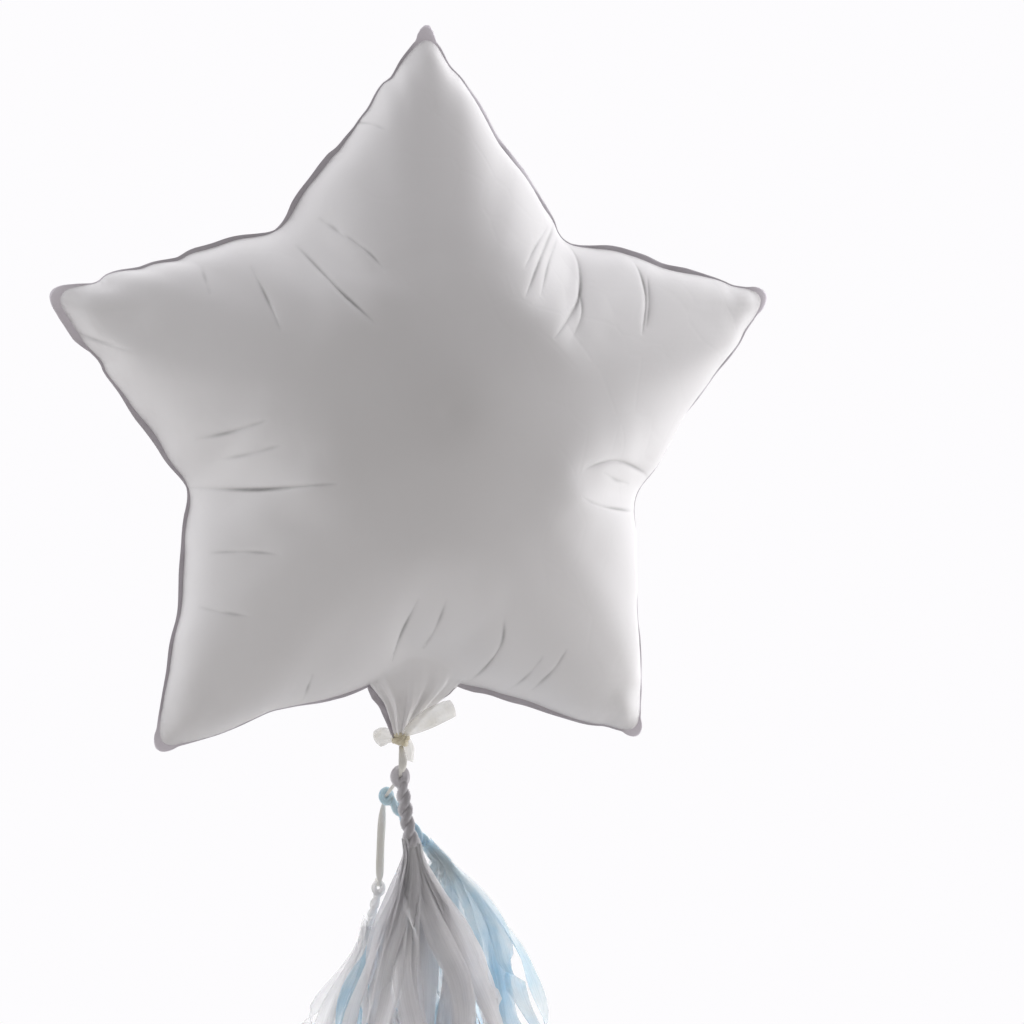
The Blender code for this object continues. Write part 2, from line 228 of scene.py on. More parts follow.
def thicken(obj: Object, thickness: float) -> None:
    """Give a sheet this wall, half of it on each side, with its rim closed."""
    alter(obj, "SOLIDIFY", thickness=thickness, offset=0.0)


def join(name: str, pieces: Sequence[Object]) -> Object:
    """Join meshes into one object.

    Args:
        name: The name of the whole.
        pieces: The meshes, of which the first takes in the others.

    Returns:
        The joined object.
    """
    pick(pieces[0])
    for piece in pieces[1:]:
        piece.select_set(True)
    if len(pieces) > 1:
        bpy.ops.object.join()
    whole = bpy.context.object
    whole.name = whole.data.name = name
    return whole


def dress(obj: Object, finish: bpy.types.Material, slot: Slot, body: Body, *nodes: str) -> None:
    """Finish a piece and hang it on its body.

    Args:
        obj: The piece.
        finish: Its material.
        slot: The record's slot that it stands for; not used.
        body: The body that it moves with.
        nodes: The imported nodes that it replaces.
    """
    pick(obj)
    bpy.ops.object.shade_smooth()
    obj.data.materials.clear()
    obj.data.materials.append(finish)
    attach(obj, body.value)
    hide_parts(*nodes)
    LOG.info("%s: %d faces on %s", obj.name, len(obj.data.polygons), body.value)


def mark_painted_shade(obj: Object, shares: Rows) -> None:
    """Keep how much painted shade a finish gets at each of an object's points, from 0 to 1."""
    fold = obj.data.attributes.new(PAINTED_SHADE, "FLOAT", "POINT")
    fold.data.foreach_set("value", shares.astype(np.float32))


def smooth_curve(points: Rows, steps: int) -> Rows:
    """Read a smooth curve through the given points.

    Args:
        points: The points of the route, as (point, value), each row of any length.
        steps: How many steps to take from one point to the next.

    Returns:
        The finer rows, in the same columns.
    """
    ends = np.concatenate([points[:1], points, points[-1:]])
    made = []
    for p0, p1, p2, p3 in zip(ends, ends[1:], ends[2:], ends[3:]):
        for step in range(steps):
            t = step / steps
            made.append(0.5 * (
                2 * p1 + (p2 - p0) * t + (2 * p0 - 5 * p1 + 4 * p2 - p3) * t**2
                + (3 * p1 - p0 - 3 * p2 + p3) * t**3
            ))
    made.append(points[-1])
    return np.array(made)


def unit(rows: Rows) -> Rows:
    """Scale each row vector to a length of 1."""
    return rows / np.maximum(np.linalg.norm(rows, axis=-1, keepdims=True), 1e-12)


def run_along(points: Rows) -> Rows:
    """The distance run from the first point to each."""
    return np.concatenate([[0.0], np.cumsum(np.linalg.norm(np.diff(points, axis=0), axis=1))])


def slow_start_and_stop(share: Rows) -> Rows:
    """Ease a share that runs from 0 to 1."""
    return share**2 * (3 - 2 * share)


# Shader node groups and finishes


class Wiring:
    """Adds nodes and links to one node tree."""

    def __init__(self, tree: bpy.types.NodeTree) -> None:
        """Start on this tree."""
        self.tree = tree

    def add(self, kind: str, **values: object) -> bpy.types.Node:
        """Add a node.

        Args:
            kind: The node's type name, without its leading ShaderNode.
            values: Its settings by name, and for its inputs a value or the socket to link.

        Returns:
            The new node.
        """
        node = self.tree.nodes.new("ShaderNode" + kind)
        for name, value in values.items():
            if hasattr(node, name):
                setattr(node, name, value)
            else:
                self.give(node.inputs[name.replace("_", " ")], value)
        return node

    def give(self, target: bpy.types.NodeSocket, value: object) -> None:
        """Set an input.

        Args:
            target: The input.
            value: Its value, or the socket that gives it.
        """
        if isinstance(value, bpy.types.NodeSocket):
            self.tree.links.new(value, target)
        else:
            target.default_value = value

    def maths(self, operation: str, *values: object, clamp: bool = False) -> bpy.types.NodeSocket:
        """Add a Math node.

        Args:
            operation: What it does, such as MULTIPLY.
            values: The sockets or numbers that it works on.
            clamp: Whether its result is kept from 0 to 1.

        Returns:
            Its result.
        """
        node = self.add("Math", operation=operation, use_clamp=clamp)
        for socket, value in zip(node.inputs, values):
            self.give(socket, value)
        return node.outputs["Value"]

    def scaled(self, vector: bpy.types.NodeSocket, by: bpy.types.NodeSocket) -> bpy.types.NodeSocket:
        """Scale a colour or a vector by a socket's number."""
        return self.add("VectorMath", operation="SCALE", Vector=vector, Scale=by).outputs["Vector"]

    def mixed(self, factor: bpy.types.NodeSocket, first: object, second: object) -> bpy.types.NodeSocket:
        """Mix two colours.

        Args:
            factor: The share of the second.
            first: A socket or a colour.
            second: A socket or a colour.

        Returns:
            The mixed colour.
        """
        node = self.add("Mix", data_type="RGBA", Factor=factor)
        for socket, value in zip([one for one in node.inputs if one.type == "RGBA"], (first, second)):
            self.give(socket, value)
        return next(one for one in node.outputs if one.type == "RGBA")


def new_group(
    name: str,
    inputs: Sequence[tuple[str, str, object]],
    outputs: Sequence[tuple[str, str]],
) -> tuple[Wiring, bpy.types.NodeOutputs, bpy.types.NodeInputs]:
    """Start a shader node group.

    Args:
        name: The group's name.
        inputs: Each input's name, socket type and value.
        outputs: Each output's name and socket type.

    Returns:
        The wiring of the group, what comes into it and what goes out of it.
    """
    tree = bpy.data.node_groups.new(name, "ShaderNodeTree")
    for label, kind, value in inputs:
        socket = tree.interface.new_socket(label, in_out="INPUT", socket_type="NodeSocket" + kind)
        if value is not None:
            socket.default_value = value
    for label, kind in outputs:
        tree.interface.new_socket(label, in_out="OUTPUT", socket_type="NodeSocket" + kind)
    taken = tree.nodes.new("NodeGroupInput").outputs
    given = tree.nodes.new("NodeGroupOutput").inputs
    return Wiring(tree), taken, given


def crinkle_group() -> bpy.types.NodeTree:
    """Build the small creases, ribs and grain of stretched film.

    Returns:
        A group with a Height for a Bump node.
    """
    wiring, taken, given = new_group(
        "film_crinkle",
        (("Vector", "Vector", None), ("Crease Scale", "Float", 40.0), ("Rib Scale", "Float", 500.0),
         ("Rib Share", "Float", 0.2)),
        (("Height", "Float"),),
    )
    place, rib_share = taken["Vector"], taken["Rib Share"]
    warp = wiring.add("TexNoise", Vector=place, Scale=9.0, Detail=2.0)
    shifted = wiring.add("VectorMath", operation="MULTIPLY_ADD", Vector=warp.outputs["Color"])
    wiring.give(shifted.inputs[1], (0.05, 0.05, 0.05))
    wiring.give(shifted.inputs[2], place)
    creases = wiring.add(
        "TexVoronoi", feature="DISTANCE_TO_EDGE", Vector=shifted.outputs["Vector"],
        Scale=taken["Crease Scale"],
    )
    lines = wiring.add(
        "MapRange", interpolation_type="SMOOTHSTEP", Value=creases.outputs["Distance"],
        From_Max=0.10, To_Min=1.0, To_Max=0.0,
    )
    ribs = wiring.add(
        "TexWave", wave_type="BANDS", bands_direction="X", Vector=place,
        Scale=taken["Rib Scale"], Distortion=1.5, Detail=1.0,
    )
    grain = wiring.add("TexNoise", Vector=place, Scale=260.0, Detail=3.0, Roughness=0.6)
    heights = [wiring.maths("MULTIPLY", one.outputs["Fac"], rib_share) for one in (ribs, grain)]
    together = wiring.maths("ADD", *heights)
    wiring.give(given["Height"], wiring.maths("SUBTRACT", together, lines.outputs["Result"]))
    return wiring.tree


def drift_group() -> bpy.types.NodeTree:
    """Build a slow change of tone over a surface.

    Returns:
        A group with the changed Colour and the Tone that changed it, from 0 to 1.
    """
    wiring, taken, given = new_group(
        "tone_drift",
        (("Vector", "Vector", None), ("Light Colour", "Color", (1.0, 1.0, 1.0, 1.0)),
         ("Dark Colour", "Color", (0.5, 0.5, 0.5, 1.0)), ("Scale", "Float", 6.0),
         ("Contrast", "Float", 1.0)),
        (("Colour", "Color"), ("Tone", "Float")),
    )
    clouds = wiring.add(
        "TexNoise", Vector=taken["Vector"], Scale=taken["Scale"], Detail=3.0, Roughness=0.55
    )
    centred = wiring.maths("SUBTRACT", clouds.outputs["Fac"], 0.5)
    stronger = wiring.maths("MULTIPLY", centred, taken["Contrast"])
    tone = wiring.maths("ADD", stronger, 0.5, clamp=True)
    wiring.give(given["Colour"], wiring.mixed(tone, taken["Light Colour"], taken["Dark Colour"]))
    wiring.give(given["Tone"], tone)
    return wiring.tree


def fibre_group() -> bpy.types.NodeTree:
    """Build the fibres and pressed wrinkles of tissue paper, along the V of its UV map.

    Returns:
        A group with a Height for a Bump node and the Density of the pulp, from 0 to 1.
    """
    wiring, taken, given = new_group(
        "tissue_fibre",
        (("Vector", "Vector", None), ("Fibre Scale", "Float", 60.0), ("Wrinkle Scale", "Float", 7.0),
         ("Stretch", "Float", 0.12)),
        (("Height", "Float"), ("Density", "Float")),
    )
    stretch = wiring.add("CombineXYZ", X=1.0, Y=taken["Stretch"], Z=1.0)
    drawn = wiring.add("VectorMath", operation="MULTIPLY", Vector=taken["Vector"])
    wiring.give(drawn.inputs[1], stretch.outputs["Vector"])
    place = drawn.outputs["Vector"]
    fibres = wiring.add(
        "TexNoise", Vector=place, Scale=taken["Fibre Scale"], Detail=4.0, Roughness=0.7
    )
    wrinkles = wiring.add(
        "TexNoise", noise_type="RIDGED_MULTIFRACTAL", Vector=place, Scale=taken["Wrinkle Scale"],
        Detail=3.0,
    )
    fine = wiring.maths("MULTIPLY", fibres.outputs["Fac"], 0.35)
    wiring.give(given["Height"], wiring.maths("ADD", fine, wrinkles.outputs["Fac"]))
    wiring.give(given["Density"], fibres.outputs["Fac"])
    return wiring.tree


class Shader:
    """A material with one Principled shader, and the groups that feed it."""

    groups: dict[str, bpy.types.NodeTree] = {}

    def __init__(self, name: str, **values: object) -> None:
        """Start a material.

        Args:
            name: Its name.
            values: The shader's input values by name.
        """
        self.material = bpy.data.materials.new(name)
        self.material.use_nodes = True
        self.wiring = Wiring(self.material.node_tree)
        self.principled = self.material.node_tree.nodes["Principled BSDF"]
        self.place = self.wiring.add("TexCoord")
        for label, value in values.items():
            self.feed(label.replace("_", " "), value)

    def feed(self, name: str, value: object) -> None:
        """Set one of the shader's inputs to a value or a socket."""
        self.wiring.give(self.principled.inputs[name], value)

    def group(
        self, build: Callable[[], bpy.types.NodeTree], source: str, **values: object
    ) -> bpy.types.NodeOutputs:
        """Place a node group.

        Args:
            build: The function that makes the group, called once for all materials.
            source: The coordinates that it reads, Object or UV.
            values: The group's input values by name.

        Returns:
            What the group puts out.
        """
        if build.__name__ not in self.groups:
            self.groups[build.__name__] = build()
        tree = self.groups[build.__name__]
        place = self.place.outputs[source]
        return self.wiring.add("Group", node_tree=tree, Vector=place, **values).outputs

    def vary(self, name: str, source: bpy.types.NodeSocket, low: float, high: float) -> None:
        """Let a mask move one of the shader's values.

        Args:
            name: The shader's input.
            source: The mask, from 0 to 1.
            low: The value where the mask is 0.
            high: The value where the mask is 1.
        """
        span = self.wiring.add("MapRange", Value=source, To_Min=low, To_Max=high)
        self.feed(name, span.outputs["Result"])


@dataclass(frozen=True)
class Finish:
    """What every finish has: its two tones, how fast and how strongly they drift, and how much
    of its relief shows, and how high that is in metres."""

    name: str
    light: Colour
    dark: Colour
    drift_scale: float = 5.0
    contrast: float = 1.6
    strength: float = 0.10
    relief: float = 0.0004

    def drift(self, shader: Shader) -> bpy.types.NodeOutputs:
        """Place the slow drift between the two tones.

        Args:
            shader: The material that it goes into.

        Returns:
            Its Colour and its Tone.
        """
        return shader.group(
            drift_group, "Object", Light_Colour=self.light, Dark_Colour=self.dark,
            Scale=self.drift_scale, Contrast=self.contrast,
        )

    def raise_by(self, shader: Shader, height: bpy.types.NodeSocket) -> None:
        """Raise the surface.

        Args:
            shader: The material.
            height: The socket that says how high each place is, from 0 to 1.
        """
        bump = shader.wiring.add(
            "Bump", Strength=self.strength, Distance=self.relief, Height=height
        )
        shader.feed("Normal", bump.outputs["Normal"])


@dataclass(frozen=True)
class FoilFinish(Finish):
    """Satin foil film, with the ribs and small creases of a stretched surface, and painted shade where
    its piece marks it.
    """

    roughness: tuple[float, float] = (0.46, 0.56)
    crease_scale: float = 34.0
    rib_share: float = 0.25
    # how far full painted shade darkens the colour
    painted_shade_scale: float = 0.48
    mirrored: float = 0.10

    def build(self) -> bpy.types.Material:
        """Make the material.

        Returns:
            The material, darkened by painted shade where its piece marks it.
        """
        shader = Shader(self.name, Metallic=self.mirrored)
        drift = self.drift(shader)
        crinkle = shader.group(
            crinkle_group, "Object", Crease_Scale=self.crease_scale, Rib_Share=self.rib_share
        )
        # painted shade: the piece's mask darkens the base colour
        painted_shade_mask = shader.wiring.add("Attribute", attribute_name=PAINTED_SHADE)
        shade = shader.wiring.add(
            "MapRange", Value=painted_shade_mask.outputs["Fac"], To_Min=1.0, To_Max=self.painted_shade_scale
        )
        shader.feed("Base Color", shader.wiring.scaled(drift["Colour"], shade.outputs["Result"]))
        shader.vary("Roughness", drift["Tone"], *self.roughness)
        self.raise_by(shader, crinkle["Height"])
        return shader.material


@dataclass(frozen=True)
class FilmFinish(Finish):
    """Thin film that lets some of the light behind it through."""

    drift_scale: float = 90.0
    contrast: float = 2.2
    strength: float = 0.35
    relief: float = 0.0003
    opacity: tuple[float, float] = (0.24, 0.50)
    crease_scale: float = 160.0
    rib_share: float = 0.15
    roughness: float = 0.32

    def build(self) -> bpy.types.Material:
        """Make the material.

        Returns:
            The material.
        """
        shader = Shader(self.name, Roughness=self.roughness)
        drift = self.drift(shader)
        crinkle = shader.group(
            crinkle_group, "Object", Crease_Scale=self.crease_scale, Rib_Share=self.rib_share
        )
        shader.feed("Base Color", drift["Colour"])
        shader.vary("Alpha", drift["Tone"], *self.opacity)
        self.raise_by(shader, crinkle["Height"])
        return shader.material


@dataclass(frozen=True)
class RibbonFinish(Finish):
    """Cream curling ribbon, with its fine lengthwise ribs."""

    drift_scale: float = 120.0
    contrast: float = 2.0
    strength: float = 0.4
    relief: float = 0.0002
    crease_scale: float = 3.0
    rib_scale: float = 5.0
    rib_share: float = 0.8
    roughness: float = 0.36

    def build(self) -> bpy.types.Material:
        """Make the material.

        Returns:
            The material.
        """
        shader = Shader(self.name, Roughness=self.roughness)
        crinkle = shader.group(
            crinkle_group, "UV", Crease_Scale=self.crease_scale, Rib_Scale=self.rib_scale,
            Rib_Share=self.rib_share,
        )
        shader.feed("Base Color", self.drift(shader)["Colour"])
        self.raise_by(shader, crinkle["Height"])
        return shader.material


@dataclass(frozen=True)
class TissueFinish(Finish):
    """Tissue paper: soft, fibrous, and thin enough to glow where the light is behind it."""

    drift_scale: float = 28.0
    contrast: float = 2.4
    strength: float = 0.85
    relief: float = 0.0006
    opacity: tuple[float, float] = (1.0, 1.0)
    glow: float = 1.0
    glow_reach: float = 0.0006
    gloss: float = 0.25
    fibre_scale: float = 30.0
    roughness: float = 0.82

    def build(self) -> bpy.types.Material:
        """Make the material.

        Returns:
            The material, more see-through where its pulp is thin.
        """
        shader = Shader(
            self.name, Roughness=self.roughness, Specular_IOR_Level=self.gloss,
            Subsurface_Weight=self.glow, Subsurface_Radius=(1.0, 1.0, 1.0),
            Subsurface_Scale=self.glow_reach,
        )
        fibre = shader.group(fibre_group, "UV", Fibre_Scale=self.fibre_scale)
        shader.feed("Base Color", self.drift(shader)["Colour"])
        shader.vary("Alpha", fibre["Density"], *self.opacity)
        self.raise_by(shader, fibre["Height"])
        return shader.material


# The star's outline


class Arm(NamedTuple):
    """One arm of the star: its tip, and the valley after it going clockwise."""

    angle: float
    tip: float
    valley: float
    valley_shift: float


ARMS = (
    # degrees from straight up, radius of the tip's corner, radius of the valley after it and how
    # many degrees past the middle between the two tips it is
    Arm(2.5, 0.250, 0.154, 5.2),
    Arm(70.6, 0.262, 0.159, 1.2),
    Arm(143.0, 0.258, 0.157, -1.0),
    Arm(217.9, 0.263, 0.147, -0.8),
    Arm(288.5, 0.238, 0.145, -1.0),
)


def on_star(angle: float, radius: float) -> Rows:
    """A point of the star's plane as x and z, from degrees clockwise of straight up."""
    turn = math.radians(angle)
    return np.array([radius * math.sin(turn), radius * math.cos(turn)])


def clock_angles(places: Rows) -> Rows:
    """The angles of (x, z) places, in degrees clockwise of straight up."""
    return np.degrees(np.arctan2(places[:, 0], places[:, 1])) % 360


def turn_between(angles: Rows, angle: float) -> Rows:
    """How far angles are clockwise of another, from -180 to 180 degrees."""
    return (angles - angle + 180) % 360 - 180


def read_round(angles: Rows, values: Rows, wanted: Rows) -> Rows:
    """Read values that are known at some angles of a circle, at other angles."""
    order = np.argsort(angles)
    return np.interp(wanted, angles[order], values[order], period=360.0)


@dataclass(frozen=True)
class StarOutline:
    """A five-armed star with rounded corners, scaled up from the seam's for the flat cut."""

    tip_rounding: float
    valley_rounding: float
    tip_scale: float = 1.0
    valley_scale: float = 1.0
    arc_steps: int = 8

    def reach(self) -> float:
        """How far the longest arm's corner is from the middle."""
        return max(arm.tip for arm in ARMS) * self.tip_scale

    def corners(self) -> list[tuple[Rows, float]]:
        """Place the ten corners in turn.

        Returns:
            Each corner's (x, z) place and its rounding.
        """
        found = []
        for arm, following in zip(ARMS, ARMS[1:] + ARMS[:1]):
            ahead = following.angle + (360.0 if following.angle < arm.angle else 0.0)
            found.append((on_star(arm.angle, arm.tip * self.tip_scale), self.tip_rounding))
            between = (arm.angle + ahead) / 2 + arm.valley_shift
            valley = on_star(between, arm.valley * self.valley_scale)
            found.append((valley, self.valley_rounding))
        return found

    def loop(self) -> Rows:
        """Round the corners off.

        Returns:
            The outline as a closed run of (x, z) places, close together at the corners.
        """
        corners = self.corners()
        places = []
        for i, (corner, rounding) in enumerate(corners):
            before, after = corners[i - 1][0], corners[(i + 1) % len(corners)][0]
            start = corner + unit(before - corner) * rounding
            end = corner + unit(after - corner) * rounding
            for step in range(self.arc_steps + 1):
                t = step / self.arc_steps
                places.append(start * (1 - t) ** 2 + corner * 2 * t * (1 - t) + end * t**2)
        return np.array(places)

    def evenly(self, spacing: float) -> Rows:
        """Read the outline at even steps.

        Args:
            spacing: About how far apart the places are.

        Returns:
            The (x, z) places, starting at the top tip.
        """
        loop = self.loop()
        loop = np.concatenate([loop, loop[:1]])
        run = run_along(loop)
        wanted = np.linspace(0.0, run[-1], round(run[-1] / spacing), endpoint=False)
        return np.stack([np.interp(wanted, run, loop[:, axis]) for axis in (0, 1)], axis=1)

    def radius_at(self, angles: Rows) -> Rows:
        """Measure the outline from the middle.

        Args:
            angles: The directions, in degrees.

        Returns:
            How far away the outline is in each.
        """
        loop = self.loop()
        loop = np.concatenate([loop, (loop + np.roll(loop, -1, axis=0)) / 2])
        return read_round(clock_angles(loop), np.linalg.norm(loop, axis=1), angles)


def within(places: Rows, loop: Rows) -> Rows:
    """Tell which places lie inside a closed loop.

    Args:
        places: The (x, z) places.
        loop: The loop's (x, z) places in turn.

    Returns:
        True for each place that is inside.
    """
    inside = np.zeros(len(places), bool)
    for a, b in zip(loop, np.roll(loop, -1, axis=0)):
        if a[1] == b[1]:
            continue
        crosses = (a[1] > places[:, 1]) != (b[1] > places[:, 1])
        at = (b[0] - a[0]) * (places[:, 1] - a[1]) / (b[1] - a[1]) + a[0]
        inside ^= crosses & (places[:, 0] < at)
    return inside


def nearest_on(places: Rows, route: Rows) -> tuple[Rows, Rows, Rows]:
    """Measure places against a line.

    Args:
        places: The (x, z) places.
        route: The line, as (x, z) places.

    Returns:
        Each place's distance from the line, its distance to the line's right, and how far along
        the line it is, from 0 to 1.
    """
    best = np.full(len(places), np.inf)
    beside = np.zeros(len(places))
    along = np.zeros(len(places))
    run = run_along(route)
    for i, (a, b) in enumerate(zip(route, route[1:])):
        way = b - a
        length = np.linalg.norm(way)
        t = np.clip((places - a) @ way / length**2, 0, 1)
        away = places - a - t[:, None] * way
        gap = np.linalg.norm(away, axis=1)
        nearer = gap < best
        best = np.where(nearer, gap, best)
        side = (away[:, 0] * way[1] - away[:, 1] * way[0]) / length
        beside = np.where(nearer, side, beside)
        along = np.where(nearer, (run[i] + t * length) / run[-1], along)
    return best, beside, along


# Foil envelope


class Crease(NamedTuple):
    """A fold in the taut film: places as (degrees, millimetres from the middle), then its depth
    and the reach of its slopes, in millimetres."""

    route: tuple[tuple[float, float], ...]
    depth: float
    reach: float

    def line(self) -> Rows:
        """The fold's line as (x, z) places."""
        corners = [on_star(angle, radius * MM) for angle, radius in self.route]
        return smooth_curve(np.array(corners), 6)


CREASES = (
    # valley between the left arm and the top one
    Crease(((323, 134), (321, 97), (322, 66)), 2.2, 3.4),
    Crease(((334, 125), (337, 108), (339, 92)), 1.2, 2.6),
    Crease(((332, 141), (333, 131), (334, 121)), 0.9, 2.2),
    Crease(((310, 144), (304, 124), (297, 108)), 1.3, 3.0),
    Crease(((304, 167), (301, 160), (298, 153)), 0.8, 2.4),
    Crease(((349, 196), (351, 189), (353, 182)), 0.8, 2.6),
    # valley between the top arm and the right one
    Crease(((36, 161), (35, 123), (36, 89)), 1.5, 2.6),
    Crease(((38, 150), (38, 124), (41, 98)), 1.0, 2.0),
    Crease(((34, 150), (32, 126), (31, 106)), 0.8, 2.0),
    Crease(((42, 157), (46, 144), (52, 119), (56, 84)), 2.2, 3.2),
    Crease(((47, 134), (55, 116), (60, 97)), 1.0, 2.2),
    Crease(((54, 182), (61, 168), (69, 147)), 1.6, 2.8),
    Crease(((58, 180), (64, 163), (68, 152)), 0.9, 2.0),
    # valley on the right
    Crease(((110, 96), (103, 121), (103, 166)), 1.4, 2.8),
    Crease(((119, 103), (117, 122), (111, 166)), 1.5, 2.8),
    Crease(((108, 112), (108, 128), (107, 142)), 0.7, 2.0),
    # bottom valley, above the tail
    Crease(((186, 112), (187, 136), (187, 162)), 1.6, 3.0),
    Crease(((177, 112), (178, 129), (180, 148)), 1.2, 2.6),
    Crease(((160, 133), (162, 153), (168, 173)), 1.8, 3.0),
    Crease(((148, 172), (152, 181), (157, 190)), 1.2, 2.6),
    Crease(((153, 168), (157, 178), (161, 186)), 0.9, 2.2),
    Crease(((204, 174), (203, 184), (202, 193)), 1.0, 2.6),
    # valley on the left
    Crease(((253, 151), (247, 117), (237, 77)), 2.4, 3.2),
    Crease(((264, 144), (265, 124), (268, 104)), 1.3, 2.8),
    Crease(((258, 132), (258, 115), (259, 97)), 0.9, 2.2),
    Crease(((238, 159), (234, 142), (228, 127)), 1.2, 2.8),
    Crease(((230, 183), (226, 174), (222, 165)), 0.9, 2.6),
    Crease(((285, 233), (283, 209), (282, 184)), 0.9, 3.0),
)


class Pinch(NamedTuple):
    """A place where the seam is gathered inwards: its angle, how far in it is drawn, in
    millimetres, and how wide it is, in degrees."""

    angle: float
    depth: float
    width: float


PINCHES = (
    Pinch(352.5, 2.6, 1.3),
    Pinch(357.0, 4.2, 1.0),
    Pinch(6.5, 2.4, 1.2),
    Pinch(345.0, 1.6, 1.2),
    Pinch(280.0, 4.0, 1.2),
    Pinch(292.5, 4.5, 1.2),
    Pinch(298.0, 2.8, 1.3),
    Pinch(303.5, 2.2, 1.3),
    Pinch(67.5, 2.4, 1.0),
    Pinch(74.8, 2.6, 1.2),
    Pinch(146.5, 1.8, 1.0),
    Pinch(206.0, 1.6, 1.5),
    Pinch(232.0, 5.5, 8.0),
    Pinch(266.0, 4.5, 5.0),
    Pinch(92.0, 4.5, 6.0),
    Pinch(80.0, 4.0, 3.0),
    Pinch(89.0, 2.5, 4.0),
    Pinch(121.0, 3.5, 5.0),
    Pinch(208.0, 3.0, 3.0),
    Pinch(340.0, 2.5, 5.0),
    Pinch(310.0, 2.0, 4.0),
    Pinch(164.0, 2.5, 4.0),
    Pinch(50.0, -3.0, 9.0),
    Pinch(36.5, -2.5, 2.5),
    Pinch(240.0, 3.5, 6.0),
    Pinch(224.0, 3.5, 2.5),
)


@dataclass
class Envelope:
    """The two foil halves, cut flat, blown up and drawn in at their welded seam."""

    seam: StarOutline
    cut: StarOutline
    half_depth: float = 0.104
    # the flat pattern: its points' spacing, and as shares of it, how far they are shaken out of
    # their rows and how near the edge they may be
    spacing: float = 0.0056
    shaken: float = 0.12
    edge_gap: float = 0.65
    # the film before it is blown up: how much smaller than its cut, how high, how far past the
    # tips the lens runs out, and how steep it is at the seam
    start_scale: float = 0.90
    start_lift: float = 0.62
    lens_reach: float = 1.05
    lens_rim: float = 0.012
    frames: int = 50
    quality: int = 6
    pressure: float = 20.0
    film_mass: float = 0.03
    stretch_stiffness: float = 300.0
    give_stiffness: float = 2.0
    bend_stiffness: float = 0.02
    damping: float = 5.0
    bend_damping: float = 0.5
    air_damping: float = 8.0
    smoothing: int = 10
    # the fit to the seam: passes over its ratio, how far outside it a point still counts, how
    # soon a pinch fades inwards, and the radius below which it draws in less
    ratio_passes: int = 4
    past_seam: float = 1.15
    pinch_power: float = 14.0
    pinch_floor: float = 0.05
    # the crown: its radius and slope, the height where it starts to be rounded and over how much
    crown_radius: float = 0.040
    crown_slope: float = 0.36
    crown_from: float = 0.03
    crown_over: float = 0.05
    # the folds: how far from them the mesh is split in each pass, how steep their two sides are,
    # how sharp they are, how wide the painted shade along each is, how they fade out, the depth whose
    # painted shade is full, and how deep they and their painted shade are on the back
    split_within: tuple[float, ...] = (0.0055, 0.0024)
    crease_steepness: tuple[float, float] = (0.6, 1.6)
    sharp_share: float = 0.74
    sharp_reach: float = 0.0013
    crease_shade_reach: float = 0.0011
    fade_power: float = 0.9
    full_crease_shade_depth: float = 2.0
    back_depths: tuple[float, float] = (0.8, 0.55)
    back_crease_shade: float = 0.6
    # the mean darkness of the painted shade along a fold, and how often it gets darker and lighter along
    # it
    crease_shade_darkness: float = 0.62
    crease_shade_rate: int = 11
    seed: int = 3

    def build(self) -> tuple[Object, Rows]:
        """Make the envelope as one closed shell.

        Returns:
            The envelope, and the points of its seam in turn.
        """
        flat, triangles, rim = self.pattern()
        envelope = self.sewn(flat, triangles, rim)
        self.inflate(envelope)
        self.smooth_inside(envelope, rim)
        self.fit_to_seam(envelope, rim)
        seam = points_of(envelope)[:rim]
        self.keep_rim_sharp(envelope, rim)
        alter(envelope, "SUBSURF", levels=1, render_levels=1)
        self.press_creases(envelope)
        return envelope, seam

    def pattern(self) -> tuple[Rows, list[list[int]], int]:
        """Cut the flat star.

        Returns:
            Its (x, z) places, its triangles, and how many places are on its edge.
        """
        edge = self.cut.evenly(self.spacing)
        random = np.random.default_rng(self.seed)
        reach = self.cut.reach()
        across = np.arange(-reach, reach, self.spacing)
        rows = np.arange(-reach, reach, self.spacing * math.sqrt(3) / 2)
        x, z = np.meshgrid(across, rows)
        x[1::2] += self.spacing / 2
        inner = np.stack([x.ravel(), z.ravel()], axis=1)
        inner += random.uniform(-self.shaken, self.shaken, inner.shape) * self.spacing
        inner = inner[within(inner, edge)]
        inner = inner[self.gaps_to(edge, inner) > self.edge_gap * self.spacing]
        count = len(edge)
        sides = [(i, (i + 1) % count) for i in range(count)]
        places = [Vector(place) for place in np.concatenate([edge, inner])]
        points, _, triangles, *_ = delaunay_2d_cdt(places, sides, [], 1, MERGE_DISTANCE)
        return np.array([tuple(point) for point in points]), triangles, count

    @staticmethod
    def gaps_to(edge: Rows, places: Rows) -> Rows:
        """How far each place is from the nearest point of the edge."""
        return np.linalg.norm(places[:, None] - edge[None], axis=2).min(axis=1)

    def sewn(self, flat: Rows, triangles: list[list[int]], rim: int) -> Object:
        """Lay two flat stars face to face, joined at their edge and a little apart inside.

        Args:
            flat: The (x, z) places of one.
            triangles: Its triangles.
            rim: How many of its first places are on its edge.

        Returns:
            The envelope before it is blown up.
        """
        gaps = self.gaps_to(flat[:rim], flat)
        radius = np.linalg.norm(flat, axis=1)
        reach = self.cut.reach() * self.lens_reach
        rounded = gaps * (2 * self.half_depth * (1 - radius / reach) + self.lens_rim) - gaps**2 / 2
        lift = self.start_lift * np.sqrt(np.maximum(rounded, 0.0))
        shape = bmesh.new()
        front, back = [], []
        for i, ((x, z), away) in enumerate(zip(flat * self.start_scale, lift)):
            front.append(shape.verts.new((x, -away if i >= rim else 0.0, z)))
            back.append(front[i] if i < rim else shape.verts.new((x, away, z)))
        for corners in triangles:
            shape.faces.new([front[i] for i in corners])
            shape.faces.new([back[i] for i in corners][::-1])
        bmesh.ops.recalc_face_normals(shape, faces=shape.faces)
        mesh = bpy.data.meshes.new("foil_envelope")
        shape.to_mesh(mesh)
        shape.free()
        made = bpy.data.objects.new("foil_envelope", mesh)
        bpy.context.scene.collection.objects.link(made)
        return made

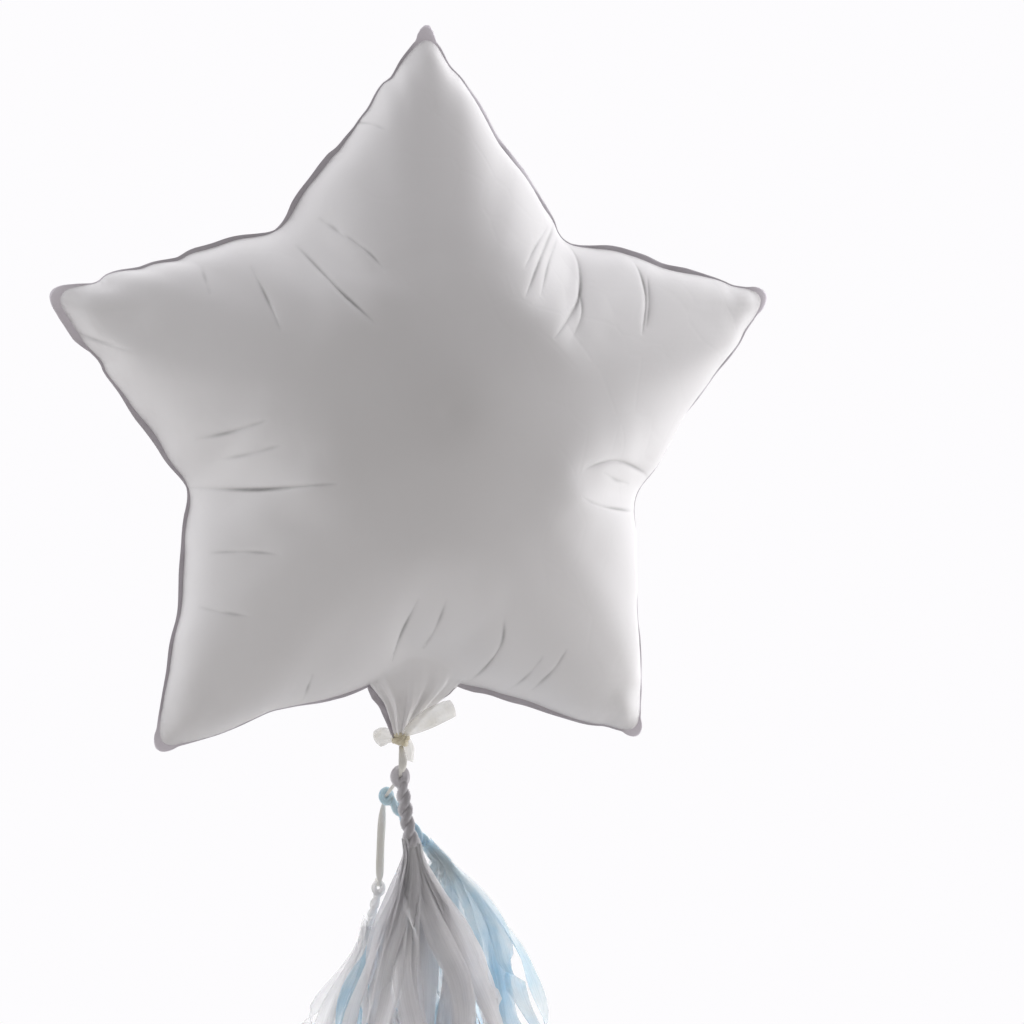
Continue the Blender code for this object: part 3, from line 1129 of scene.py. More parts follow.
    def inflate(self, envelope: Object) -> None:
        """Blow the envelope up with a cloth simulation, and keep the result.

        Args:
            envelope: The sewn envelope.
        """
        envelope.shape_key_add(name="sewn")
        cut = envelope.shape_key_add(name="cut")
        for held, start in zip(cut.data, envelope.data.vertices):
            held.co = (start.co.x / self.start_scale, 0.0, start.co.z / self.start_scale)
        cloth = envelope.modifiers.new("film", "CLOTH")
        film = cloth.settings
        film.rest_shape_key = cut
        film.quality = self.quality
        film.mass = self.film_mass
        film.tension_stiffness = self.stretch_stiffness
        film.compression_stiffness = film.shear_stiffness = self.give_stiffness
        film.bending_stiffness = self.bend_stiffness
        film.tension_damping = film.compression_damping = film.shear_damping = self.damping
        film.bending_damping = self.bend_damping
        film.air_damping = self.air_damping
        film.use_pressure = True
        film.uniform_pressure_force = self.pressure
        film.effector_weights.gravity = 0.0
        cloth.collision_settings.use_collision = False
        cloth.point_cache.frame_start = 1
        cloth.point_cache.frame_end = self.frames + 1
        for number in range(1, self.frames + 1):
            bpy.context.scene.frame_set(number)
        graph = bpy.context.evaluated_depsgraph_get()
        blown = bpy.data.meshes.new_from_object(envelope.evaluated_get(graph))
        envelope.modifiers.clear()
        envelope.shape_key_clear()
        envelope.data = blown
        bpy.context.scene.frame_set(1)

    def smooth_inside(self, envelope: Object, rim: int) -> None:
        """Pull the film's small wrinkles out, with its seam held.

        Args:
            envelope: The blown-up film.
            rim: How many of its first points are on the seam.
        """
        inside = envelope.vertex_groups.new(name="inside_the_seam")
        inside.add(list(range(rim, len(envelope.data.vertices))), 1.0, "REPLACE")
        alter(
            envelope, "SMOOTH", factor=0.5, iterations=self.smoothing, vertex_group=inside.name
        )
        envelope.vertex_groups.clear()

    def fit_to_seam(self, envelope: Object, rim: int) -> None:
        """Draw the seam onto its outline, round the crowns and set the depth.

        Args:
            envelope: The blown-up film.
            rim: How many of its first points are on the seam.
        """
        points = points_of(envelope)
        radius = np.hypot(points[:, 0], points[:, 2])
        angles = clock_angles(points[:, ::2])
        ratio = self.seam.radius_at(angles[:rim]) / radius[:rim]
        for _ in range(self.ratio_passes):
            ratio = (np.roll(ratio, 1) + 2 * ratio + np.roll(ratio, -1)) / 4
        rim_radius = read_round(angles[:rim], radius[:rim], angles)
        share = np.minimum(radius / rim_radius, self.past_seam)
        scale = 1 + (read_round(angles[:rim], ratio, angles) - 1) * share**2
        for pinch in PINCHES:
            gap = turn_between(angles, pinch.angle)
            near = np.exp(-((gap / pinch.width) ** 2)) * share**self.pinch_power
            scale -= pinch.depth * MM / np.maximum(radius, self.pinch_floor) * near
        points[:, ::2] *= scale[:, None]
        radius = np.hypot(points[:, 0], points[:, 2])
        height = np.abs(points[:, 1])
        lowered = self.crown_slope * (np.hypot(radius, self.crown_radius) - radius)
        high = np.clip((height - self.crown_from) / self.crown_over, 0.0, 1.0)
        depth = np.maximum(height - lowered * high, 0.0)
        points[:, 1] = np.sign(points[:, 1]) * depth * self.half_depth / depth.max()
        points[:rim, 1] = 0.0
        move_points(envelope, points)

    def keep_rim_sharp(self, envelope: Object, rim: int) -> None:
        """Mark the seam's edges, so that refining the shell leaves them sharp.

        Args:
            envelope: The fitted film.
            rim: How many of its first points are on the seam.
        """
        mesh = envelope.data
        ends = np.empty(len(mesh.edges) * 2, np.int32)
        mesh.edges.foreach_get("vertices", ends)
        on_rim = (ends.reshape(-1, 2) < rim).all(axis=1)
        sharp = mesh.attributes.new("crease_edge", "FLOAT", "EDGE")
        sharp.data.foreach_set("value", on_rim.astype(np.float32))

    def press_creases(self, envelope: Object) -> None:
        """Refine the film along its creases, fold it in there, most deeply on the front, and paint shade
        along each fold.

        Args:
            envelope: The fitted film.
        """
        routes = [crease.line() for crease in CREASES]
        for nearness in self.split_within:
            self.refine_near(envelope, routes, nearness)
        points = points_of(envelope)
        normals = np.empty(len(points) * 3, np.float32)
        envelope.data.vertices.foreach_get("normal", normals)
        steep, easy = self.crease_steepness
        on_front = points[:, 1] < 0
        sunk = np.zeros(len(points))
        folded = np.zeros(len(points))
        for number, (crease, route) in enumerate(zip(CREASES, routes)):
            gap, beside, along = nearest_on(points[:, ::2], route)
            reach = crease.reach * MM * np.where(beside > 0, steep, easy)
            fade = np.clip(np.sin(np.pi * np.clip(along, 0, 1)), 0, 1) ** self.fade_power
            fade *= np.where(on_front, 1.0, self.back_depths[number % 2])
            sharp = self.sharp_share * np.exp(-gap / self.sharp_reach)
            broad = (1 - self.sharp_share) * np.exp(-gap / reach)
            sunk += crease.depth * MM * (sharp + broad) * fade
            # painted shade: a dark line along each fold, darker and lighter along its run and fainter on
            # the back
            line = np.exp(-((gap / self.crease_shade_reach) ** 2)) * fade
            line *= min(crease.depth / self.full_crease_shade_depth, 1.0)
            drift = (1 - self.crease_shade_darkness) * np.sin(self.crease_shade_rate * along + number)
            line *= np.where(on_front, 1.0, self.back_crease_shade) * (self.crease_shade_darkness + drift)
            folded = np.maximum(folded, line)
        move_points(envelope, points - normals.reshape(-1, 3) * sunk[:, None])
        mark_painted_shade(envelope, folded)

    def refine_near(self, envelope: Object, routes: list[Rows], nearness: float) -> None:
        """Split the film's edges that lie close to a crease.

        Args:
            envelope: The film.
            routes: The creases' lines.
            nearness: How close an edge's two ends are to one of them, in metres.
        """
        places = points_of(envelope)[:, ::2]
        near = np.zeros(len(places), bool)
        for route in routes:
            near |= nearest_on(places, route)[0] < nearness
        shape = bmesh.new()
        shape.from_mesh(envelope.data)
        shape.verts.ensure_lookup_table()
        edges = [edge for edge in shape.edges if all(near[end.index] for end in edge.verts)]
        bmesh.ops.subdivide_edges(shape, edges=edges, cuts=1, use_grid_fill=True, smooth=0.0)
        shape.to_mesh(envelope.data)
        shape.free()


# Welded seam


class Tab(NamedTuple):
    """A tip of the weld: how far it stands out past the weld beside it, half its width and how
    far it leans to the back, in millimetres, how many degrees its end is swung clockwise, and how
    far from it the weld is kept free of painted shade, in millimetres."""

    stands: float
    half_width: float
    lean: float
    swing: float
    light: float


TABS = (
    Tab(8.0, 4.2, 2.0, 4.0, 14.0),
    Tab(4.5, 8.5, 2.0, -5.0, 20.0),
    Tab(5.0, 6.0, 1.0, 0.0, 14.0),
    Tab(4.0, 7.0, 1.0, 2.0, 20.0),
    Tab(3.0, 6.5, 2.0, 5.0, 42.0),
)

WELD = (
    # degrees from straight up, width of the weld and how far it leans to the back, in mm
    (2.0, 2.5, 0.0),
    (8.0, 1.0, 1.0),
    (14.0, 3.0, 2.0),
    (24.0, 3.2, 2.5),
    (33.0, 2.6, 1.5),
    (38.0, 0.6, 0.5),
    (43.0, 0.7, 0.0),
    (49.5, 2.8, 0.5),
    (56.5, 3.8, 0.5),
    (62.0, 3.0, 0.5),
    (66.0, 0.8, 0.0),
    (71.0, 1.2, 0.0),
    (79.0, 1.4, 1.0),
    (98.0, 0.5, 1.0),
    (110.0, 0.5, 0.5),
    (122.0, 0.5, 0.5),
    (131.0, 1.3, 0.8),
    (137.0, 1.0, 0.8),
    (143.0, 1.0, 0.0),
    (148.0, 1.2, 0.0),
    (156.0, 3.4, -0.4),
    (166.0, 3.6, -0.5),
    (172.0, 1.2, 0.0),
    (180.0, 0.5, 0.0),
    (188.0, 1.2, 0.0),
    (194.0, 2.2, 0.5),
    (202.0, 0.8, 1.0),
    (213.0, 0.5, 0.5),
    (217.5, 1.6, 0.0),
    (222.0, 1.6, -0.4),
    (236.0, 2.8, -0.8),
    (247.0, 2.2, -0.4),
    (253.0, 0.9, 0.0),
    (261.0, 3.2, -0.6),
    (270.0, 3.6, -0.4),
    (277.0, 1.6, 0.0),
    (281.3, 1.2, -0.4),
    (283.2, 4.6, -1.0),
    (286.0, 5.2, -1.0),
    (289.0, 3.0, 0.0),
    (292.0, 0.5, 0.5),
    (300.0, 1.6, 0.5),
    (307.0, 2.8, -0.4),
    (317.0, 2.4, -0.4),
    (323.5, 0.8, 0.0),
    (331.0, 3.4, -0.6),
    (343.0, 3.4, -0.6),
    (349.0, 1.2, 0.0),
    (356.0, 1.0, 0.5),
)


def waves(turn: Rows, table: Sequence[tuple[float, float, float]]) -> Rows:
    """Add up some sine waves.

    Args:
        turn: The angle of each place, round the whole.
        table: Each wave's number of crests, shift and size.

    Returns:
        Their sum at each place.
    """
    return sum(size * np.sin(number * turn + shift) for number, shift, size in table)


@dataclass
class SeamFlange:
    """The flat weld that stands out all round the envelope, rippled by the pull of the film."""

    tuck: float = 0.0016
    thickness: float = 0.0003
    ripple: float = 0.0007
    steps: int = 4
    rows: int = 6
    smoothing: int = 2
    smoothing_weight: int = 6
    tangent_reach: int = 3
    tip_power: float = 4.0
    ripple_power: float = 1.5
    # crests round the star, shift and size: of the weld's width, and of its ripple
    width_waves: tuple[tuple[float, float, float], ...] = ((31, 1.0, 0.08), (57, 0.0, 0.04))
    ripple_waves: tuple[tuple[float, float, float], ...] = (
        (29, 0.4, 0.5), (53, 2.1, 0.35), (83, 4.0, 0.25)
    )

    def build(self, seam: Rows) -> Object:
        """Make the flange.

        Args:
            seam: The points of the seam in turn, as the envelope has them.

        Returns:
            The flange, a thin closed strip.
        """
        line = self.finer(seam[:, ::2])
        reach = self.tangent_reach
        tangent = unit(np.roll(line, -reach, axis=0) - np.roll(line, reach, axis=0))
        outwards = np.stack([-tangent[:, 1], tangent[:, 0]], axis=1)
        outwards *= np.sign((outwards * line).sum(axis=1, keepdims=True).mean())
        run = run_along(np.concatenate([line, line[:1]]))
        angles = clock_angles(line)
        known, widths, leans = np.array(WELD).T
        stands = np.interp(angles, known, widths, period=360.0) * MM
        lean = np.interp(angles, known, leans, period=360.0) * MM
        turn = FULL_TURN * run[:-1] / run[-1]
        stands *= 1 + waves(turn, self.width_waves)
        wave = waves(turn, self.ripple_waves)
        ways = outwards.copy()
        for arm, tab in zip(ARMS, TABS):
            tip = np.argmin(np.abs(turn_between(angles, arm.angle)))
            gap = np.abs(run[:-1] - run[tip])
            share = self.near(np.minimum(gap, run[-1] - gap), tab.half_width)
            way = on_star(arm.angle + tab.swing, 1.0)
            ways = ways * (1 - share[:, None]) + way * share[:, None]
            stands += share * tab.stands * MM
            lean += share * tab.lean * MM
        rows = []
        for share in np.linspace(0.0, 1.0, self.rows + 1):
            away = -self.tuck * (1 - share) + stands * share
            turned = unit(outwards * (1 - share) + ways * share)
            place = line + turned * away[:, None]
            through = wave * self.ripple * share**self.ripple_power + lean * share**2
            ring = np.stack([place[:, 0], through, place[:, 1]], axis=1)
            rows.append(np.concatenate([ring, ring[:1]]))
        flange = grid_through("seam_flange", np.array(rows))
        weld(flange)
        thicken(flange, self.thickness)
        self.shade(flange)
        return flange

    def near(self, gaps: Rows, reach: float) -> Rows:
        """How much of a tip's own shape a place has, where it reaches this many millimetres."""
        return np.exp(-((gaps / (reach * MM)) ** self.tip_power))

    def shade(self, flange: Object) -> None:
        """Paint shade on the weld, apart from its tips.

        Args:
            flange: The finished weld.
        """
        places = points_of(flange)[:, ::2]
        # painted shade: full on the weld, fading out near each tip
        dark = np.ones(len(places))
        for arm, tab in zip(ARMS, TABS):
            gap = np.linalg.norm(places - on_star(arm.angle, arm.tip), axis=1)
            dark *= 1 - self.near(gap, tab.light)
        mark_painted_shade(flange, dark)

    def finer(self, seam: Rows) -> Rows:
        """Round the seam off and read it at closer steps.

        Args:
            seam: Its (x, z) places in turn.

        Returns:
            The finer run of places.
        """
        line = seam.copy()
        weight = self.smoothing_weight
        for _ in range(self.smoothing):
            beside = np.roll(line, 1, axis=0) + np.roll(line, -1, axis=0)
            line = (beside + weight * line) / (weight + 2)
        closed = np.concatenate([line[-2:], line, line[:2]])
        fine = smooth_curve(closed, self.steps)
        return fine[2 * self.steps : (2 + len(line)) * self.steps]


# Tail, knot and strips of film

BAND_RIPPLE_RATE = 900


class Band(NamedTuple):
    """A point on the middle line of a band, and the band's width there, in metres."""

    x: float
    y: float
    z: float
    width: float


def band_rows(
    route: Sequence[Band], across: Vector, columns: int, steps: int, curl: float, ripple: float = 0.0
) -> Rows:
    """Lay a band along a route.

    Args:
        route: The points of its middle line.
        across: The direction of its width.
        columns: How many points it has across.
        steps: How many rows from one point of the route to the next.
        curl: How deep its middle sinks, as a share of its width.
        ripple: How far its edges wander, in metres.

    Returns:
        The rows of its points.
    """
    line = smooth_curve(np.array(route), steps)
    middle, width = line[:, :3], line[:, 3]
    along = unit(np.gradient(middle, axis=0))
    side = unit(np.array(across) - along * (along @ np.array(across))[:, None])
    face = np.cross(along, side)
    run = run_along(middle)
    made = []
    for share in np.linspace(-1.0, 1.0, columns):
        sink = curl * width * (1 - share**2)
        wander = ripple * share * np.sin(run * BAND_RIPPLE_RATE + share * 2)
        made.append(middle + side * (share * width / 2)[:, None] + face * (sink + wander)[:, None])
    return np.stack(made, axis=1)


class FilmStrip(NamedTuple):
    """A strip of film that comes out of the knot: what it is called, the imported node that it
    stands for, the direction of its width, how deep it is curled and its route."""

    name: str
    node: str
    across: Vector
    curl: float
    route: tuple[Band, ...]


@dataclass
class Tail:
    """The tail that the filling went in by: gathered into the knot, its end folded up."""

    pleats: int = 11
    pleat_turn: float = 40.0
    pleat_sideways: float = 0.4
    # size, number and shift of the finer pleats between the main ones
    fine_pleat: tuple[float, float, float] = (0.4, 2.3, 1.0)
    columns: int = 88
    steps: int = 4
    rows: tuple[tuple[float, float, float, float, float], ...] = (
        # height, middle, half width, half thickness, depth of the pleats
        (-0.1400, 0.0000, 0.0200, 0.0140, 0.0),
        (-0.1460, 0.0010, 0.0290, 0.0200, 0.0),
        (-0.1520, 0.0020, 0.0335, 0.0200, 0.0002),
        (-0.1580, 0.0026, 0.0350, 0.0180, 0.0004),
        (-0.1640, 0.0030, 0.0340, 0.0150, 0.0006),
        (-0.1700, 0.0030, 0.0300, 0.0118, 0.0009),
        (-0.1760, 0.0020, 0.0240, 0.0092, 0.0011),
        (-0.1820, 0.0002, 0.0180, 0.0076, 0.0012),
        (-0.1880, -0.0020, 0.0133, 0.0066, 0.0013),
        (-0.1940, -0.0040, 0.0094, 0.0057, 0.0012),
        (-0.1990, -0.0054, 0.0064, 0.0048, 0.0010),
        (-0.2040, -0.0060, 0.0038, 0.0036, 0.0005),
    )
    film: float = 0.0003
    film_ripple: float = 0.0003
    # the corner at the film: how widely it is rounded, and how far under the film it may end
    blend: float = 0.006
    settle: float = 0.0008
    # the painted light on the neck: the height below which it is full, and over what height it fades
    # upwards
    painted_light_below: float = -0.193
    painted_light_fade: float = 0.026
    # the weld down the neck: its width on the left and on the right, the row that it starts in,
    # the share of its width inside the funnel, the share of the funnel's half width where it is
    # set, its lean to the front, its waves, and how wide it is at the top, lower and at the knot
    fins_wide: tuple[float, float] = (0.0048, 0.00096)
    fin_start: int = 5
    fin_tuck: float = 0.25
    fin_inset: float = 0.97
    fin_lean: float = 0.0012
    fin_wave: float = 0.0010
    fin_wave_rate: float = 420.0
    fin_taper: tuple[float, float, float] = (0.6, 1.0, 0.35)

    def neck(self, shell: Object) -> Object:
        """Make the gathered funnel from the envelope down to the knot.

        Args:
            shell: The envelope that the funnel flows out of.

        Returns:
            The funnel, its foil painted lighter towards the knot.
        """
        turns = np.linspace(0.0, FULL_TURN, self.columns, endpoint=False)
        size, number, shift = self.fine_pleat
        rings = []
        for height, middle, half_width, half_thickness, pleat in self.finer_rows():
            lay = self.pleats * turns + self.pleat_turn * height
            wave = np.cos(lay) + size * np.cos(number * lay + shift)
            fold = 1 + pleat / half_thickness * wave
            x = half_width * np.cos(turns) * (1 + (fold - 1) * self.pleat_sideways) + middle
            y = half_thickness * np.sin(turns) * fold
            rings.append(np.stack([x, y, 0 * turns + height], axis=1))
        made = tube_through("gathered_neck", self.flowing_out(np.array(rings), shell))
        # painted light: the neck is lighter towards the knot, and its top is shaded back to the
        # envelope's colour
        heights = points_of(made)[:, 2]
        mark_painted_shade(made, np.clip((heights - self.painted_light_below) / self.painted_light_fade, 0.0, 1.0))
        return made

    def finer_rows(self, start: int = 0) -> Rows:
        """The funnel's rows at closer steps, from this one on."""
        return smooth_curve(np.array(self.rows[start:]), self.steps)

    def flowing_out(self, rings: Rows, shell: Object) -> Rows:
        """Round the corner between the funnel and the film that it comes out of.

        Args:
            rings: The funnel's own points.
            shell: The envelope.

        Returns:
            The points, eased out onto the film, and a little under it where it is far out.
        """
        film = BVHTree.FromObject(shell, bpy.context.evaluated_depsgraph_get())
        eased = rings.copy()
        for place in eased.reshape(-1, 3):
            hit = film.ray_cast(Vector((place[0], -1.0, place[2])), THROUGH)[0]
            if hit is None or abs(place[1]) < MERGE_DISTANCE:
                continue
            out, own = max(-hit.y - self.settle, 0.0), abs(place[1])
            blend = self.blend * min(out / self.blend, 1.0)
            place[1] = math.copysign((out + own + math.hypot(out - own, blend)) / 2, place[1])
        return eased

    def fins(self) -> list[Object]:
        """Make the weld that runs down both sides of the funnel, from the flange to the knot.

        Returns:
            Its left and its right strip, with as much painted shade as the flange.
        """
        table = self.finer_rows(self.fin_start)
        made = []
        for side, wide in zip((-1.0, 1.0), self.fins_wide):
            edge = np.stack([table[:, 1] + side * table[:, 2] * self.fin_inset, table[:, 0]], axis=1)
            way = unit(np.gradient(edge, axis=0))
            out = np.stack([-way[:, 1], way[:, 0]], axis=1) * -side
            out *= np.sign((out[:, 0] * side).mean())
            stations = (0, self.steps, len(edge) - 1)
            width = wide * np.interp(np.arange(len(edge)), stations, self.fin_taper)
            wave = self.fin_wave * np.sin(run_along(edge) * self.fin_wave_rate + side)
            rows = []
            for share in np.linspace(-self.fin_tuck, 1.0, 5):
                place = edge + out * (width * share)[:, None]
                through = (wave - self.fin_lean) * share
                rows.append(np.stack([place[:, 0], through, place[:, 1]], axis=1))
            strip = grid_through("neck_weld", np.array(rows))
            thicken(strip, self.film)
            # painted shade over the whole strip, as on the flange
            mark_painted_shade(strip, np.ones(len(strip.data.vertices)))
            made.append(strip)
        return made

    def strip(self, piece: FilmStrip) -> Object:
        """Make one strip of film that comes out of the knot.

        Args:
            piece: What it is like.

        Returns:
            The strip.
        """
        rows = band_rows(piece.route, piece.across, 7, 6, piece.curl, self.film_ripple)
        made = grid_through(piece.name, rows)
        thicken(made, self.film)
        return made


FILM_STRIPS = (
    FilmStrip("filling_tab", "filling_tail_end", Vector((-0.35, 0.1, 1.0)), 0.22, (
        Band(-0.0048, -0.0050, -0.2008, 0.0050),
        Band(0.0022, -0.0088, -0.1962, 0.0095),
        Band(0.0100, -0.0118, -0.1912, 0.0126),
        Band(0.0190, -0.0130, -0.1870, 0.0124),
        Band(0.0226, -0.0128, -0.1858, 0.0118),
        Band(0.0252, -0.0120, -0.1850, 0.0108),
    )),
    FilmStrip("curled_film_left", "ribbon_end_left", Vector((0.1, 0.35, 1.0)), 0.30, (
        Band(-0.0090, 0.0010, -0.2048, 0.0040),
        Band(-0.0118, 0.0014, -0.2038, 0.0080),
        Band(-0.0152, 0.0010, -0.2028, 0.0108),
        Band(-0.0190, -0.0004, -0.2034, 0.0116),
        Band(-0.0218, -0.0022, -0.2046, 0.0108),
    )),
    FilmStrip("curled_film_right", "ribbon_end_right", Vector((0.95, 0.3, 0.0)), 0.22, (
        Band(-0.0026, 0.0010, -0.2056, 0.0040),
        Band(-0.0012, 0.0014, -0.2078, 0.0064),
        Band(-0.0004, 0.0012, -0.2120, 0.0074),
        Band(-0.0006, 0.0004, -0.2165, 0.0070),
        Band(-0.0012, -0.0004, -0.2196, 0.0060),
    )),
)


@dataclass
class Knot:
    """Turns of ribbon pulled tight round the tail, with the crossing on the front."""

    centre: Vector
    turns: tuple[tuple[float, float, float, float], ...] = (
        # height over the middle, half width, half depth, tilt in degrees
        (0.0022, 0.0044, 0.0040, 9.0),
        (0.0000, 0.0052, 0.0047, -13.0),
        (-0.0021, 0.0045, 0.0041, 16.0),
    )
    section: tuple[float, float] = (0.0009, 0.0019)
    # size and number of the waves in the ribbon's thickness and in its width
    puckers: tuple[float, int] = (0.16, 7)
    bulges: tuple[float, int] = (0.10, 5)
    around: int = 40
    sides: int = 12
    # the strap's points from the middle of the knot, with its widths, then their direction
    strap: tuple[Band, ...] = (
        Band(-0.0030, -0.0036, -0.0032, 0.0020),
        Band(-0.0012, -0.0058, -0.0012, 0.0030),
        Band(0.0010, -0.0060, 0.0012, 0.0030),
        Band(0.0030, -0.0038, 0.0034, 0.0020),
    )
    strap_across: tuple[float, float, float] = (0.8, 0.0, -0.6)
    strap_curl: float = 0.12
    strap_thickness: float = 0.0009

    def build(self) -> Object:
        """Make the knot.

        Returns:
            Its turns and its crossing strap, joined.
        """
        pieces = [self.turn(*row) for row in self.turns]
        pieces.append(self.crossing())
        return join("tied_knot", pieces)

    def turn(self, height: float, half_width: float, half_depth: float, tilt: float) -> Object:
        """Make one closed turn of the ribbon, puckered where it is pulled.

        Args:
            height: How far over the middle of the knot it is.
            half_width: Its reach to the sides.
            half_depth: Its reach to the front and back.
            tilt: How many degrees it is tipped sideways.

        Returns:
            The turn.
        """
        sides = np.linspace(0.0, FULL_TURN, self.sides, endpoint=False)
        rings = []
        for angle in np.linspace(0.0, FULL_TURN, self.around, endpoint=False):
            pucker = 1 + self.puckers[0] * math.sin(self.puckers[1] * angle + tilt)
            bulge = 1 + self.bulges[0] * math.sin(self.bulges[1] * angle)
            out = self.section[0] * np.cos(sides) * pucker
            up = self.section[1] * np.sin(sides) * bulge
            x, y = (half_width + out) * math.cos(angle), (half_depth + out) * math.sin(angle)
            rings.append(np.stack([x, y, up + height], axis=1))
        tipped = np.array(Matrix.Rotation(math.radians(tilt), 3, "Y"))
        return ring_through("turn", np.array(rings) @ tipped.T + np.array(self.centre))

    def crossing(self) -> Object:
        """Make the short strap that crosses the turns and locks them.

        Returns:
            The strap.
        """
        route = [Band(*(self.centre + Vector(point[:3])), point.width) for point in self.strap]
        made = grid_through(
            "crossing", band_rows(route, Vector(self.strap_across), 5, 5, self.strap_curl)
        )
        thicken(made, self.strap_thickness)
        return made


RIBBON_NARROW = 0.0024
RIBBON_WIDTH = 0.005


@dataclass
class Ribbon:
    """The cream ribbon that hangs from the knot and carries the tassels."""

    route: tuple[Band, ...] = (
        Band(-0.0060, 0.0000, -0.2096, RIBBON_NARROW),
        Band(-0.0068, -0.0080, -0.2155, RIBBON_WIDTH),
        Band(-0.0078, -0.0118, -0.2215, RIBBON_WIDTH),
        Band(-0.0086, -0.0095, -0.2268, RIBBON_NARROW),
        Band(-0.0092, -0.0060, -0.2300, RIBBON_NARROW),
        Band(-0.0110, -0.0008, -0.2345, RIBBON_NARROW),
        Band(-0.0138, 0.0022, -0.2395, RIBBON_NARROW),
        Band(-0.0146, 0.0055, -0.2425, RIBBON_NARROW),
        Band(-0.0152, 0.0096, -0.2475, RIBBON_NARROW),
        Band(-0.0160, 0.0112, -0.2580, RIBBON_WIDTH),
        Band(-0.0168, 0.0120, -0.2750, RIBBON_WIDTH),
        Band(-0.0172, 0.0124, -0.2920, RIBBON_WIDTH),
        Band(-0.0171, 0.0133, -0.2978, RIBBON_NARROW),
        Band(-0.0171, 0.0146, -0.3005, RIBBON_NARROW),
        Band(-0.0171, 0.0170, -0.3016, RIBBON_NARROW),
        Band(-0.0171, 0.0194, -0.3005, RIBBON_NARROW),
        Band(-0.0171, 0.0207, -0.2975, RIBBON_NARROW),
    )
    thickness: float = 0.0004
    curl: float = 0.10
    steps: int = 4

    def build(self) -> Object:
        """Returns:
            The ribbon.
        """
        rows = band_rows(self.route, SIDEWAYS, 5, self.steps, self.curl)
        made = grid_through("hanging_ribbon", rows)
        thicken(made, self.thickness)
        path = smooth_curve(np.array(self.route), self.steps)[:, :3]
        length = float(run_along(path)[-1])
        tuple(self.route[0][:3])
        LOG.info("hanging_ribbon: %.3f m long", length)
        return made


# Tassels


@dataclass(frozen=True)
class StripHabits:
    """How the strips of a skirt hang: what differs from strip to strip is drawn from the ranges,
    rates are waves' radians for each metre of fall, and the rest is the same for all."""

    length_share: tuple[float, float] = (0.86, 1.0)
    start_share: tuple[float, float] = (0.2, 1.0)
    row_power: float = 1.25
    core_share: float = 0.8
    open_length: float = 0.07
    turn_drift: tuple[float, float] = (-0.45, 0.45)
    drift_power: float = 1.2
    sway: float = 0.20
    sway_rate: tuple[float, float] = (20, 40)
    billow: float = 0.005
    billow_rate: tuple[float, float] = (20, 45)
    twist: tuple[float, float] = (0.3, 1.1)
    twist_rate: tuple[float, float] = (6, 14)
    turned_over: float = 0.55
    over_from: tuple[float, float] = (0.04, 0.85)
    over_length: tuple[float, float] = (0.02, 0.05)
    width: tuple[float, float] = (0.011, 0.0175)
    narrow_share: float = 0.24
    widen_length: float = 0.055
    widen_power: float = 0.9
    gathered: float = 0.45
    gather_rate: tuple[float, float] = (14, 30)
    gather_power: int = 6
    fold: tuple[float, float] = (0.06, 0.28)
    fold_opens: float = 0.35
    fold_place: tuple[float, float] = (-0.4, 0.4)
    flutter: float = 0.0010
    flutter_rate: float = 130.0
    cut_area: float = 0.95


